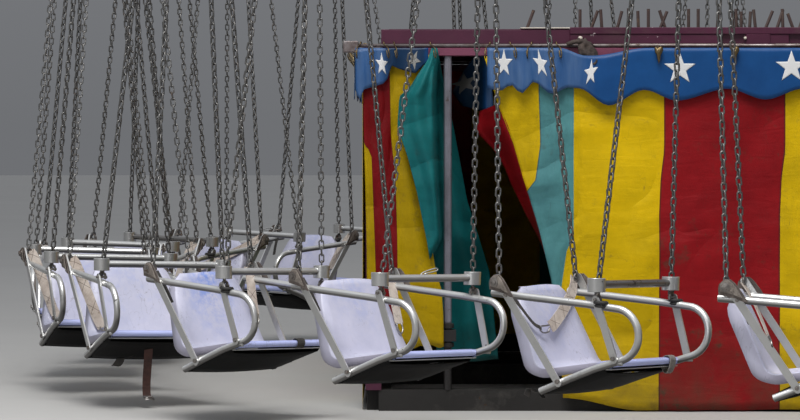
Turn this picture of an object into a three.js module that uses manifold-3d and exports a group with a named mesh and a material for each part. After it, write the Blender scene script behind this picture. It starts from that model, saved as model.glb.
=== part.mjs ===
// Chair swing ride, in millimetres, +Z up. The origin is on the ground under the middle of the mast.
// The curtained middle stands still. The crown turns on the mast and carries the chairs.
// Each chair hangs on its own hinge line.

import * as THREE from 'three';
import { mergeVertices } from 'three/addons/utils/BufferGeometryUtils.js';
import Module from 'manifold-3d';

const wasm = await Module();
wasm.setup();

// Ring of chairs
const chairCount = 28;
const ringRadius = 3430;
const firstChairAngle = -102.4;
const pinHeight = 556;
const hingeHeight = 2850;
const hangerReach = 350;
const touchGap = 0.3;
const sliverSize = 0.5;

// How the loose chairs have come to rest, repeated around the ring: turn in degrees, drift along the ring
const restingTwist = [0, -9, -3, 7, -2, 7, 0];
const restingDrift = [-10, 35, -5, -20, -10, 10, 0];
const innerSideDrop = 14;

// Chair frame, seen from the side: x forward, z from the rear pin
const chairWidth = 500;
const tubeRadius = 13;
const tubeSides = 5;
const rearPin = [-243, 0];
const armRear = [-268, -37];
const loopTop = [214, -76];
const loopRadius = 87;
const lowerRear = [-80, -346];
const rearBarTop = [-240, 16];
const rearBarFoot = [-20, -328];
const frontBarTop = [146, -14];
const frontBarFoot = [214, -255];
const barWidth = 26;
const barThickness = 8;
const lapBarAt = [143, 0];
const lapRingRadius = 30;
const lapRingHeight = 46;

// Seat bucket
const seatWidth = 462;
const seatThickness = 6;
const seatBackTop = [-236, 0];
const seatBend = [-92, -320];
const seatFront = [176, -268];
const seatRollRadius = 11;
const seatCorner = 70;
const bearerAt = [60, -303];

// Chain hangers under the ring beam
const chainSize = 14;
const hangerHalfWidth = 57;
const hangerTopRise = 24;
const hangerDrop = 52;
const hangerThickness = 24;
const hangerMargin = 26;
const lugWidth = 64;

// Crown
const ringBeamWidth = 90;
const ringBeamHeight = 120;
const ringBeamBottom = hingeHeight + 72;
const armWidth = 90;
const armHeight = 110;
const sweepCount = 7;
const hubRadius = 262;
const hubHeight = 150;
const kingPostRadius = 85;
const kingPostTop = 3720;
const collarRadius = 120;
const collarHeight = 90;
const collarMiddle = kingPostTop - 95;
const tieRodSize = 20;
const tieRodReach = 3050;

// Mast and ground frame
const mastRadius = 190;
const mastSides = 16;
const bearingHeight = 40;
const groundFrameHeight = 80;
const groundTubeWidth = 90;
const footPlate = 850;

// Curtained enclosure around the mast
const halfLength = 2276;
const halfDepth = 1750;
const railTop = 1407;
const railBottom = 1361;
const railWidth = 50;
const railEnd = 2326;
const sideRailFace = 2250;
const topBeamHeight = 57;
const topBeamWidth = 60;
const topBeamHalfLength = 2180;
const deckThickness = 12;
const deckHole = 560;
const postSize = 60;
const poleRadius = 15;
const poleAt = 1925;
const curtainThickness = 8;
const curtainBottom = 6;
const foldDepth = 18;
const foldPitch = 330;
const valanceDrop = 185;
const scallopRise = 22;
const scallopPitch = 333;

const step = (2 * Math.PI) / chairCount;

function material(color, roughness, metalness) {
  return new THREE.MeshStandardMaterial({ color, roughness, metalness });
}

const silverPaint = material(0xb9b9b4, 0.45, 0.7);
const plumPaint = material(0x5b2440, 0.5, 0.3);
const wornSteel = material(0x8f8a86, 0.5, 0.7);
const stripedCloth = material(0xc2a216, 0.8, 0);
const darkSteel = material(0x3a3634, 0.6, 0.6);

// Turns a closed three.js geometry into a solid that can be joined and cut
function solid(geometry, matrix) {
  const bare = geometry.clone();
  bare.deleteAttribute('normal');
  bare.deleteAttribute('uv');
  if (matrix) bare.applyMatrix4(matrix);
  const merged = mergeVertices(bare, 0.001);
  return new wasm.Manifold(new wasm.Mesh({
    numProp: 3,
    vertProperties: new Float32Array(merged.attributes.position.array),
    triVerts: new Uint32Array(merged.index.array),
  }));
}

function joined(solids) {
  return solids.reduce((whole, next) => whole.add(next));
}

// The mesh of a finished piece, without the slivers that joining leaves in flat faces
function geometryOf(body) {
  const mesh = body.simplify(sliverSize).getMesh();
  const geometry = new THREE.BufferGeometry();
  geometry.setAttribute('position', new THREE.BufferAttribute(mesh.vertProperties, 3));
  geometry.setIndex(new THREE.BufferAttribute(mesh.triVerts, 1));
  geometry.computeVertexNormals();
  return geometry;
}

function boxSolid(x0, x1, y0, y1, z0, z1) {
  const geometry = new THREE.BoxGeometry(x1 - x0, y1 - y0, z1 - z0);
  return solid(geometry, new THREE.Matrix4().makeTranslation((x0 + x1) / 2, (y0 + y1) / 2, (z0 + z1) / 2));
}

// A straight bar of rectangular section from one point to another; side is the direction of its width
function barSolid(from, to, width, thickness, side) {
  const along = to.clone().sub(from);
  const length = along.length();
  along.normalize();
  const thick = new THREE.Vector3().crossVectors(along, side).normalize();
  const wide = new THREE.Vector3().crossVectors(thick, along);
  const middle = from.clone().add(to).multiplyScalar(0.5);
  const place = new THREE.Matrix4().makeBasis(along, wide, thick).setPosition(middle);
  return solid(new THREE.BoxGeometry(length, width, thickness), place);
}

// A route through given points, with a tangent at each point that halves the bend there
class Route extends THREE.Curve {
  constructor(points) {
    super();
    this.points = points;
  }

  getPoint(t) {
    const place = t * (this.points.length - 1);
    const index = Math.min(Math.floor(place + 1e-9), this.points.length - 2);
    return this.points[index].clone().lerp(this.points[index + 1], place - index);
  }

  getPointAt(t) {
    return this.getPoint(t);
  }

  getTangentAt(t) {
    const index = Math.round(t * (this.points.length - 1));
    const tangent = new THREE.Vector3();
    for (const [a, b] of [[index - 1, index], [index, index + 1]]) {
      if (a < 0 || b >= this.points.length) continue;
      tangent.add(this.points[b].clone().sub(this.points[a]).normalize());
    }
    return tangent.normalize();
  }
}

function tubeSolid(points, radius) {
  const section = new THREE.Shape();
  for (let i = 0; i < tubeSides; i += 1) {
    const turn = (2 * Math.PI * i) / tubeSides;
    const corner = [radius * Math.cos(turn), radius * Math.sin(turn)];
    if (i === 0) section.moveTo(...corner);
    else section.lineTo(...corner);
  }
  const extrudePath = new Route(points);
  return solid(new THREE.ExtrudeGeometry(section, { extrudePath, steps: points.length - 1 }));
}

// A prism of an outline given in the x-z plane, between two y values
function prismSolid(outline, y0, y1) {
  const shape = new THREE.Shape(outline.map(([x, z]) => new THREE.Vector2(x, z)));
  const geometry = new THREE.ExtrudeGeometry(shape, { depth: y1 - y0, bevelEnabled: false });
  const upright = new THREE.Matrix4().makeRotationX(Math.PI / 2).setPosition(0, y1, 0);
  return solid(geometry, upright);
}

function latheSolid(profile, sides) {
  const lathe = new THREE.LatheGeometry(profile.map(([r, z]) => new THREE.Vector2(r, z)), sides);
  return solid(lathe, new THREE.Matrix4().makeRotationX(Math.PI / 2));
}

const acrossChair = new THREE.Vector3(0, 1, 0);

function sidePoint([x, z], y) {
  return new THREE.Vector3(x, y, z);
}

// One side of the chair frame: arm tube, round loop and lower tube in one bend, with two flat bars across it
function sideFrame(side) {
  const y = (side * chairWidth) / 2;
  const route = [sidePoint(armRear, y), sidePoint(loopTop, y)];
  const loopSteps = 4;
  const loopTurn = 2.86;
  for (let i = 1; i <= loopSteps; i += 1) {
    const turn = (loopTurn * i) / loopSteps;
    const x = loopTop[0] + loopRadius * Math.sin(turn);
    const z = loopTop[1] - loopRadius * (1 - Math.cos(turn));
    route.push(sidePoint([x, z], y));
  }
  route.push(sidePoint(lowerRear, y));
  const bars = [[rearBarTop, rearBarFoot], [frontBarTop, frontBarFoot]].map(([top, foot]) => (
    barSolid(sidePoint(top, y), sidePoint(foot, y), barThickness, barWidth, acrossChair)
  ));
  return joined([tubeSolid(route, tubeRadius), ...bars]);
}

// Bent seat: a leaning back and a pan that rises to a rolled front edge
function seatBucket() {
  const line = [seatBackTop, seatBend, seatFront];
  const offsets = line.map((point, i) => {
    const before = line[Math.max(i - 1, 0)];
    const after = line[Math.min(i + 1, line.length - 1)];
    const along = new THREE.Vector2(after[0] - before[0], after[1] - before[1]).normalize();
    return [point[0] + along.y * seatThickness, point[1] - along.x * seatThickness];
  });
  const sheet = prismSolid([...line, ...offsets.reverse()], -seatWidth / 2, seatWidth / 2);
  const corners = [-1, 1].map((side) => {
    const edge = (side * seatWidth) / 2;
    const from = new THREE.Vector3(seatBackTop[0], edge - side * seatCorner, seatBackTop[1] + 50);
    const to = new THREE.Vector3(seatBackTop[0], edge + side * 50, seatBackTop[1] - seatCorner);
    return barSolid(from, to, 200, 100, new THREE.Vector3(1, 0, 0)).translate([0, side * 35, 35]);
  });
  const half = chairWidth / 2;
  const roll = tubeSolid([sidePoint(seatFront, -half), sidePoint(seatFront, half)], seatRollRadius);
  return joined([corners.reduce((rest, corner) => rest.subtract(corner), sheet), roll]);
}

// Lap bar: a tube between two short sleeves that ride on the front chains
function lapBar() {
  const half = chairWidth / 2;
  const tube = tubeSolid([sidePoint(lapBarAt, -half), sidePoint(lapBarAt, half)], tubeRadius);
  const sleeves = [-1, 1].map((side) => {
    const sleeve = new THREE.CylinderGeometry(lapRingRadius, lapRingRadius, lapRingHeight, tubeSides);
    const upright = new THREE.Matrix4().makeRotationX(Math.PI / 2);
    return solid(sleeve, upright.setPosition(lapBarAt[0], side * half, lapBarAt[1]));
  });
  return joined([tube, ...sleeves]);
}

// A bar across the frame carries the pan; the rolled front edge is fixed to the lower tubes
function seatBearer() {
  const [x, z] = bearerAt;
  return boxSolid(x - 8, x + 8, -chairWidth / 2, chairWidth / 2, z - 8, z + 8);
}

const chairBody = joined([sideFrame(-1), sideFrame(1), seatBucket(), lapBar(), seatBearer()]);

// Hanger plate of one chain pair: a downward triangle beside the lug of the ring beam
function hangerPlate(end) {
  const outline = new THREE.Shape([
    new THREE.Vector2(-hangerMargin, hangerTopRise),
    new THREE.Vector2(-hangerHalfWidth - hangerMargin, -hangerDrop),
    new THREE.Vector2(hangerHalfWidth + hangerMargin, -hangerDrop),
    new THREE.Vector2(hangerMargin, hangerTopRise),
  ]);
  const plate = new THREE.ExtrudeGeometry(outline, { depth: hangerThickness, bevelEnabled: false });
  const turned = new THREE.Matrix4().makeBasis(
    new THREE.Vector3(0, 1, 0),
    new THREE.Vector3(0, 0, 1),
    new THREE.Vector3(1, 0, 0),
  );
  const start = end > 0 ? hangerReach - hangerThickness : -hangerReach;
  return solid(plate, turned.setPosition(start, 0, hingeHeight));
}

function chairSolid(index) {
  const twist = THREE.MathUtils.degToRad(restingTwist[index % restingTwist.length]);
  const lean = Math.atan2(innerSideDrop, chairWidth);
  const place = new THREE.Matrix4().makeRotationZ(twist)
    .multiply(new THREE.Matrix4().makeRotationX(-lean))
    .setPosition(restingDrift[index % restingDrift.length], 0, pinHeight);
  const parts = [chairBody.transform(place.toArray())];
  for (const side of [-1, 1]) {
    for (const [end, [x, z]] of [[-1, rearPin], [1, lapBarAt]]) {
      const foot = new THREE.Vector3(x, (side * chairWidth) / 2, z).applyMatrix4(place);
      const reach = end * (hangerReach - hangerThickness / 2);
      const top = new THREE.Vector3(reach, side * hangerHalfWidth, hingeHeight - hangerDrop + 12);
      parts.push(barSolid(foot, top, chainSize, chainSize, acrossChair));
    }
  }
  parts.push(hangerPlate(-1), hangerPlate(1));
  return joined(parts);
}

const ride = new THREE.Group();

function addPiece(name, body, finish, parent = ride) {
  const mesh = new THREE.Mesh(geometryOf(body), finish);
  mesh.name = name;
  parent.add(mesh);
}

const chairs = new THREE.Group();
ride.add(chairs);
for (let i = 0; i < chairCount; i += 1) {
  const angle = THREE.MathUtils.degToRad(firstChairAngle) - i * step;
  const stand = new THREE.Group();
  stand.position.set(ringRadius * Math.cos(angle), ringRadius * Math.sin(angle), 0);
  stand.rotation.z = angle + Math.PI / 2;
  chairs.add(stand);
  addPiece(`chair_${String(i + 1).padStart(2, '0')}`, chairSolid(i), silverPaint, stand);
}

// The lug at each corner of the ring beam takes the front hanger of one chair and the rear hanger of the
// next. It is a wedge in plan, so that each end is square to the hinge line of its chair.
function hangerLug() {
  const corner = new THREE.Vector2(ringRadius / Math.cos(step / 2), 0);
  const ends = [];
  const headed = (angle) => new THREE.Vector2(Math.cos(angle), Math.sin(angle));
  for (const side of [-1, 1]) {
    const along = headed((side * (Math.PI + step)) / 2);
    const outward = headed((side * step) / 2);
    const halfSide = ringRadius * Math.tan(step / 2);
    const end = corner.clone().addScaledVector(along, halfSide - hangerReach - touchGap);
    ends.push([-1, 1].map((hand) => end.clone().addScaledVector(outward, (hand * lugWidth) / 2)));
  }
  const outline = [ends[0][0], ends[0][1], ends[1][1], ends[1][0]];
  const bottom = hingeHeight - hangerTopRise;
  const lug = new THREE.ExtrudeGeometry(new THREE.Shape(outline), {
    depth: ringBeamBottom + 2 - bottom,
    bevelEnabled: false,
  });
  return solid(lug, new THREE.Matrix4().makeTranslation(0, 0, bottom));
}

// Ring beam: a 28-sided box-section ring, flat over each chair, with a hanger lug at each corner
function ringBeam() {
  const outer = (ringRadius + ringBeamWidth / 2) / Math.cos(step / 2);
  const inner = (ringRadius - ringBeamWidth / 2) / Math.cos(step / 2);
  const top = ringBeamBottom + ringBeamHeight;
  const profile = [
    [inner, ringBeamBottom], [outer, ringBeamBottom], [outer, top], [inner, top], [inner, ringBeamBottom],
  ];
  const ring = latheSolid(profile, chairCount);
  const parts = [ring.rotate([0, 0, firstChairAngle + THREE.MathUtils.radToDeg(step / 2) + 90])];
  const lug = hangerLug();
  for (let i = 0; i < chairCount; i += 1) {
    const angle = THREE.MathUtils.degToRad(firstChairAngle) - i * step;
    parts.push(lug.rotate([0, 0, THREE.MathUtils.radToDeg(angle + step / 2)]));
  }
  return joined(parts);
}

// A radial arm from the hub to a corner of the ring beam, and the tie rod that holds it up from the king post
function sweep(index) {
  const sweepStep = (chairCount / sweepCount) * step;
  const angle = THREE.MathUtils.degToRad(firstChairAngle) + step / 2 + index * sweepStep;
  const innerFace = (ringRadius - ringBeamWidth / 2) / Math.cos(step / 2);
  const armEnd = innerFace - (armWidth / 2) * Math.tan(step / 2) - touchGap;
  const top = ringBeamBottom + ringBeamHeight;
  const armMiddle = top - armHeight / 2;
  const up = new THREE.Vector3(0, 0, 1);
  const at = (r, z) => new THREE.Vector3(r * Math.cos(angle), r * Math.sin(angle), z);
  const arm = barSolid(at(hubRadius + touchGap, armMiddle), at(armEnd, armMiddle), armHeight, armWidth, up);
  const rodTop = at(collarRadius + tieRodSize * 0.1 + touchGap, collarMiddle);
  const rod = barSolid(rodTop, at(tieRodReach, top - 8), tieRodSize, tieRodSize, up);
  return joined([arm, rod]);
}

const crown = new THREE.Group();
ride.add(crown);
addPiece('ring_beam', ringBeam(), plumPaint, crown);
for (let i = 0; i < sweepCount; i += 1) {
  addPiece(`sweep_${i + 1}`, sweep(i), plumPaint, crown);
}

// Hub: a drum on the mast bearing, with the king post and its rod collar above; its flats face the sweeps
const hubTop = ringBeamBottom + ringBeamHeight + 15;
const hubBottom = hubTop - hubHeight;
const hubProfile = [
  [0, hubBottom], [hubRadius, hubBottom], [hubRadius, hubTop], [kingPostRadius, hubTop],
  [kingPostRadius, collarMiddle - collarHeight / 2], [collarRadius, collarMiddle - collarHeight / 2],
  [collarRadius, collarMiddle + collarHeight / 2], [kingPostRadius, collarMiddle + collarHeight / 2],
  [kingPostRadius, kingPostTop], [0, kingPostTop],
];
const hub = latheSolid(hubProfile.map(([r, z]) => [r / Math.cos(step / 2), z]), chairCount);
addPiece('hub', hub.rotate([0, 0, firstChairAngle + 90]), plumPaint, crown);

// Mast: a round column with a foot plate, four gussets and the bearing ring under the hub
function mast() {
  const top = hubBottom - touchGap;
  const bottom = groundFrameHeight + touchGap;
  const collarBottom = top - bearingHeight;
  const column = latheSolid([
    [0, bottom], [mastRadius, bottom], [mastRadius, collarBottom], [mastRadius + 45, collarBottom],
    [mastRadius + 45, top], [0, top],
  ], mastSides);
  const plateTop = bottom + 20;
  const half = footPlate / 2;
  const plate = boxSolid(-half, half, -half, half, bottom, plateTop);
  const inside = mastRadius - 20;
  const foot = plateTop - 1;
  const gusset = prismSolid([[inside, foot], [half - 20, foot], [inside, plateTop + 380]], -8, 8);
  const gussets = [0, 90, 180, 270].map((turn) => gusset.rotate([0, 0, turn]));
  return joined([column, plate, ...gussets]);
}

// Ground frame: a rectangle of box tube, with two beams each way under the foot plate
function groundFrame() {
  const w = groundTubeWidth;
  const x = sideRailFace - 15 - w / 2;
  const y = halfDepth - 15 - w / 2;
  const beamAt = footPlate / 2 - 60;
  const parts = [];
  for (const side of [-1, 1]) {
    parts.push(boxSolid(-x, x, side * y - w / 2, side * y + w / 2, 0, groundFrameHeight));
    parts.push(boxSolid(side * x - w / 2, side * x + w / 2, -y, y, 0, groundFrameHeight));
    parts.push(boxSolid(-x, x, side * beamAt - w / 2, side * beamAt + w / 2, 0, groundFrameHeight));
    parts.push(boxSolid(side * beamAt - w / 2, side * beamAt + w / 2, -y, y, 0, groundFrameHeight));
  }
  return joined(parts);
}

// Curtain rail: box tubes around the enclosure; the front and back ones run on past the corners
function curtainRail() {
  const half = railWidth / 2;
  const parts = [];
  for (const side of [-1, 1]) {
    const y = side * (halfDepth - half);
    const x = side * (sideRailFace - half);
    parts.push(boxSolid(-railEnd, railEnd, y - half, y + half, railBottom, railTop));
    parts.push(boxSolid(x - half, x + half, -halfDepth + half, halfDepth - half, railBottom, railTop));
  }
  return joined(parts);
}

function topBeam() {
  const bottom = railTop + touchGap;
  const top = bottom + topBeamHeight;
  const y = halfDepth - 8;
  const whole = boxSolid(-topBeamHalfLength, topBeamHalfLength, -y, y, bottom, top);
  const hollowX = topBeamHalfLength - topBeamWidth;
  const hollowY = y - topBeamWidth;
  const seat = top - deckThickness - touchGap;
  const hollow = boxSolid(-hollowX, hollowX, -hollowY, hollowY, bottom - 10, seat);
  const deckSeat = boxSolid(-hollowX - 30, hollowX + 30, -hollowY - 30, hollowY + 30, seat, top + 10);
  return whole.subtract(hollow).subtract(deckSeat);
}

function deck() {
  const top = railTop + touchGap + topBeamHeight;
  const x = topBeamHalfLength - topBeamWidth + 30 - touchGap;
  const y = halfDepth - 8 - topBeamWidth + 30 - touchGap;
  const half = deckHole / 2;
  return boxSolid(-x, x, -y, y, top - deckThickness, top)
    .subtract(boxSolid(-half, half, -half, half, top - 50, top + 50));
}

const middle = new THREE.Group();
ride.add(middle);
addPiece('ground_frame', groundFrame(), darkSteel, middle);
addPiece('mast', mast(), plumPaint, middle);
addPiece('curtain_rail', curtainRail(), wornSteel, middle);
addPiece('top_beam', topBeam(), plumPaint, middle);
addPiece('deck', deck(), plumPaint, middle);
for (const [end, y] of [['front', -1], ['back', 1]]) {
  for (const [hand, x] of [['left', -1], ['right', 1]]) {
    const px = x * (sideRailFace - postSize / 2 - 10);
    const py = y * (halfDepth - postSize / 2 - 10);
    const half = postSize / 2;
    const foot = groundFrameHeight + touchGap;
    const post = boxSolid(px - half, px + half, py - half, py + half, foot, railBottom - touchGap);
    addPiece(`post_${end}_${hand}`, post, plumPaint, middle);
  }
}
for (const [hand, x] of [['left', -1], ['right', 1]]) {
  const py = -(halfDepth - railWidth / 2);
  const length = railBottom - groundFrameHeight - 2 * touchGap;
  const pole = new THREE.CylinderGeometry(poleRadius, poleRadius, length, 8);
  const stand = new THREE.Matrix4().makeRotationX(Math.PI / 2);
  stand.setPosition(x * poleAt, py, (railBottom + groundFrameHeight) / 2);
  const clampZ = 290;
  const clamp = boxSolid(x * poleAt - 32, x * poleAt + 32, py - 24, py + 30, clampZ - 22, clampZ + 22);
  addPiece(`door_pole_${hand}`, joined([solid(pole, stand), clamp]), wornSteel, middle);
}

// A hanging cloth wall with shallow upright folds and a scalloped valance sewn over its top.
// It runs along x from start to end, with its back against y = 0; the wall is placed by a matrix afterwards.
function clothWall(start, end) {
  const folds = Math.max(2, Math.round((end - start) / foldPitch));
  const front = [];
  const back = [];
  for (let i = 0; i <= folds; i += 1) {
    const x = start + ((end - start) * i) / folds;
    const y = i % 2 === 0 ? 0 : -foldDepth;
    front.push(new THREE.Vector2(x, y - curtainThickness));
    back.push(new THREE.Vector2(x, y));
  }
  const sheet = new THREE.ExtrudeGeometry(new THREE.Shape([...front, ...back.reverse()]), {
    depth: railTop - 20 - curtainBottom,
    bevelEnabled: false,
  });
  const wall = solid(sheet, new THREE.Matrix4().makeTranslation(0, 0, curtainBottom));
  const valanceTop = railTop - 16;
  const low = valanceTop - valanceDrop;
  const scallops = Math.max(1, Math.round((end - start) / scallopPitch));
  const outline = [[start, valanceTop], [end, valanceTop], [end, low]];
  for (let i = scallops; i > 0; i -= 1) {
    const pitch = (end - start) / scallops;
    outline.push([start + pitch * (i - 0.5), low + scallopRise], [start + pitch * (i - 1), low]);
  }
  const y = -foldDepth - curtainThickness - 2;
  const hem = boxSolid(start, end, y - 4, -touchGap, valanceTop - 12, valanceTop);
  return joined([wall, prismSolid(outline, y - 8, y), hem]);
}

function placed(body, turn, x, y) {
  return body.rotate([0, 0, turn]).translate([x, y, 0]);
}

// Front: the doorway curtain parts in two flaps below the rail. The left one turns in behind the door pole.
const flapTurn = -1985;
const turnedBack = -1682;
const turnedTop = 1330;
const turnedBottom = 100;
const turnedOutline = [
  [flapTurn, turnedTop], [-1942, turnedTop], [-1871, 994], [-1771, 466], [-1737, turnedBottom],
  [flapTurn, turnedBottom],
];
const doorTopEdge = -1795;
const cutTop = railTop + 40;
const rightWallOutline = [
  [doorTopEdge, cutTop], [-1740, 1200], [-1620, 800], [-1550, 450], [-1500, -10], [halfLength + 50, -10],
  [halfLength + 50, cutTop],
];
const wallY = -halfDepth - touchGap;
const leftFlap = joined([
  placed(clothWall(-halfLength, flapTurn + curtainThickness), 0, 0, wallY),
  boxSolid(flapTurn, flapTurn + curtainThickness, wallY - 8, turnedBack, turnedBottom, turnedTop),
  prismSolid(turnedOutline, turnedBack - curtainThickness, turnedBack),
]);
addPiece('curtain_front_left', leftFlap, stripedCloth, middle);
const rightWall = placed(clothWall(doorTopEdge - 5, halfLength), 0, 0, wallY);
const drawnBack = rightWall.intersect(prismSolid(rightWallOutline, -2500, 0));
addPiece('curtain_front_right', drawnBack, stripedCloth, middle);
addPiece('curtain_back', placed(clothWall(-halfLength, halfLength), 180, 0, -wallY), stripedCloth, middle);
const sideHalf = halfDepth - railWidth - 2;
const sideX = sideRailFace + touchGap;
addPiece('curtain_left', placed(clothWall(-sideHalf, sideHalf), -90, -sideX, 0), stripedCloth, middle);
addPiece('curtain_right', placed(clothWall(-sideHalf, sideHalf), 90, sideX, 0), stripedCloth, middle);

export default ride;
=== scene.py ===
import math

import bmesh
import bpy
from mathutils import Matrix, Vector, noise


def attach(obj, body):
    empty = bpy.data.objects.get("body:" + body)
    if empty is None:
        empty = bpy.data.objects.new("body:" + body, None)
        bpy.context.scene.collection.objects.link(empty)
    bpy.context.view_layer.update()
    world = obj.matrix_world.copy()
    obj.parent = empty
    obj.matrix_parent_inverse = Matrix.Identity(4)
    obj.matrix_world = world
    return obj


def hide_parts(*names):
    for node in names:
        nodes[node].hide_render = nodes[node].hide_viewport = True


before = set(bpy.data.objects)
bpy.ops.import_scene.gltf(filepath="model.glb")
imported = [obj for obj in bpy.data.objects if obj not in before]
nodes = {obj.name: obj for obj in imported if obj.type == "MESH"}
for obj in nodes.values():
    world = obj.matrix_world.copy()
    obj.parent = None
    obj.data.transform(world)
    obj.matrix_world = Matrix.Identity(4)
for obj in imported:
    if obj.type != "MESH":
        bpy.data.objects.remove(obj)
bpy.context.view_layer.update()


# Ground frame: dark painted box tube on the floor, welded into a rectangle with cross beams.
# The painted steel of the whole ride starts here: paint that chips down to primer or bare steel, and dust on it.

def fill(tree, node, inputs):
    """Sets inputs of a node to values, or links them to sockets or to the first outputs of other nodes."""
    for socket, value in inputs.items():
        if isinstance(value, bpy.types.Node):
            value = value.outputs[0]
        if isinstance(value, bpy.types.NodeSocket):
            tree.links.new(value, node.inputs[socket])
        else:
            node.inputs[socket].default_value = value


def put(tree, kind, inputs=None, **settings):
    made = tree.nodes.new(kind)
    for name, value in settings.items():
        setattr(made, name, value)
    fill(tree, made, inputs or {})
    return made


def sums(tree, operation, *values):
    return put(tree, "ShaderNodeMath", dict(enumerate(values)), operation=operation)


def ranged(tree, value, start=0.0, end=1.0, low=0.0, high=1.0, **settings):
    """A value's stretch from start to end, spread over low to high."""
    return put(tree, "ShaderNodeMapRange", {0: value, 1: start, 2: end, 3: low, 4: high}, **settings)


def noisy(tree, vector, scale, detail):
    return put(tree, "ShaderNodeTexNoise", {"Vector": vector, "Scale": scale, "Detail": detail})


def bumped(tree, height, strength, distance):
    return put(tree, "ShaderNodeBump", {"Strength": strength, "Distance": distance, "Height": height})


def open_group(name, kind, inputs, output):
    """A node group with the given inputs, as (name, kind, value), and one output; what it is given and gives."""
    tree = bpy.data.node_groups.new(name, kind)
    for socket, socket_kind, value in inputs:
        made = tree.interface.new_socket(name=socket, in_out="INPUT", socket_type="NodeSocket" + socket_kind)
        if value is not None:
            made.default_value = value
    tree.interface.new_socket(name=output[0], in_out="OUTPUT", socket_type="NodeSocket" + output[1])
    return tree, tree.nodes.new("NodeGroupInput").outputs, tree.nodes.new("NodeGroupOutput")


def blotches():
    """Patches with ragged edges: chips in paint, dirt, rubbed places."""
    tree, given, result = open_group("Blotches", "ShaderNodeTree", [
        ("Vector", "Vector", None), ("Scale", "Float", 20.0), ("Threshold", "Float", 0.6),
        ("Softness", "Float", 0.03)], ("Mask", "Float"))
    third = sums(tree, "MULTIPLY", given["Scale"], 0.23)
    broad = noisy(tree, given["Vector"], third, 3.0)
    ragged = put(tree, "ShaderNodeTexNoise", {"Vector": given["Vector"], "Scale": given["Scale"], "Detail": 7.0,
                                              "Roughness": 0.68})
    both = put(tree, "ShaderNodeMix", {0: 0.55, 2: broad, 3: ragged})
    end = sums(tree, "ADD", given["Threshold"], given["Softness"])
    fill(tree, result, {"Mask": ranged(tree, both, given["Threshold"], end)})
    return tree


def scratches():
    """Thin lines: a noise that is stretched along one axis and cut close to its middle value."""
    tree, given, result = open_group("Scratches", "ShaderNodeTree", [
        ("Vector", "Vector", None), ("Stretch", "Vector", (8.0, 8.0, 200.0)), ("Turn", "Vector", (0.0, 0.0, 0.0)),
        ("Width", "Float", 0.006)], ("Mask", "Float"))
    turned = put(tree, "ShaderNodeMapping", {"Vector": given["Vector"], "Rotation": given["Turn"],
                                             "Scale": given["Stretch"]})
    near = sums(tree, "SUBTRACT", noisy(tree, turned, 1.0, 2.0), 0.5)
    cut = ranged(tree, sums(tree, "ABSOLUTE", near), 0.0, given["Width"], 1.0, 0.0)
    some = ranged(tree, noisy(tree, given["Vector"], 5.0, 2.0), 0.5, 0.62)
    fill(tree, result, {"Mask": sums(tree, "MULTIPLY", cut, some)})
    return tree


blotch_group = blotches()
scratch_group = scratches()


def grouped(tree, group, vector, **values):
    return put(tree, "ShaderNodeGroup", {"Vector": vector, **values}, node_tree=group)


def patches(tree, vector, scale, threshold, softness):
    return grouped(tree, blotch_group, vector, Scale=scale, Threshold=threshold, Softness=softness)


def mixed(tree, factor, low, high, blend="MIX"):
    return put(tree, "ShaderNodeMix", {0: factor, 6: low, 7: high}, data_type="RGBA", blend_type=blend).outputs[2]


def blank_material(name):
    """An empty material: its tree, its shader and the place on the piece."""
    material = bpy.data.materials.new(name)
    material.use_nodes = True
    tree = material.node_tree
    shader = tree.nodes["Principled BSDF"]
    return material, tree, shader, tree.nodes.new("ShaderNodeTexCoord")


def painted_steel(name, paint, shade, bare, chips=0.62, chip_scale=34.0, grime_and_shade=(0.05, 0.045, 0.04), dirt=0.56,
                  rough=0.42, metal=0.0, bare_metal=0.6, under=0.0):
    material, tree, shader, place = blank_material(name)
    at = place.outputs["Object"]
    cloudy = patches(tree, at, 6.0, 0.38, 0.3)
    colour = mixed(tree, cloudy, (*paint, 1), (*shade, 1))
    dusty = patches(tree, at, 14.0, dirt, 0.16)
    colour = mixed(tree, dusty, colour, (*grime_and_shade, 1))
    # under darkens faces that point down, towards the same dark colour as the dust: painted shade and painted
    # reflection of a dark ground, not dirt.
    if under:
        facing = put(tree, "ShaderNodeSeparateXYZ", {0: place.outputs["Normal"]})
        below = ranged(tree, facing.outputs[2], 0.40, -0.45, 0.0, under)
        colour = mixed(tree, below, colour, (*grime_and_shade, 1))
    chipped = patches(tree, at, chip_scale, chips, 0.012)
    colour = mixed(tree, chipped, colour, (*bare, 1))
    roughness = ranged(tree, dusty, low=rough, high=min(rough + 0.3, 0.9))
    metallic = ranged(tree, chipped, low=metal, high=bare_metal)
    peel = noisy(tree, at, 260.0, 3.0)
    relief = sums(tree, "MULTIPLY_ADD", chipped, -1.4, peel)
    bump = bumped(tree, relief, 0.35, 0.0006)
    fill(tree, shader, {"Base Color": colour, "Roughness": roughness, "Metallic": metallic, "Normal": bump})
    return material


def finish_node(name, material):
    piece = nodes[name]
    piece.data.materials.clear()
    piece.data.materials.append(material)


dark_paint = painted_steel("dark frame paint", (0.030, 0.028, 0.027), (0.02, 0.019, 0.018), (0.07, 0.045, 0.03),
                           chips=0.64, grime_and_shade=(0.07, 0.065, 0.06), dirt=0.5, rough=0.7)
dark_paint.node_tree.nodes["Principled BSDF"].inputs["Specular IOR Level"].default_value = 0.2
finish_node("ground_frame", dark_paint)


# Mast, corner posts and deck: round and square steel and a sheet deck, all in the plum paint of the middle.
# The paint has pink and white chips and rubbed, faded places.

plum_paint = painted_steel("plum paint", (0.052, 0.006, 0.024), (0.085, 0.013, 0.040), (0.50, 0.40, 0.42),
                           chips=0.645, chip_scale=56.0, grime_and_shade=(0.065, 0.022, 0.030), dirt=0.55, rough=0.42,
                           bare_metal=0.1)
for name in ("mast", "deck", "post_front_left", "post_front_right", "post_back_left", "post_back_right"):
    finish_node(name, plum_paint)


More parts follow.
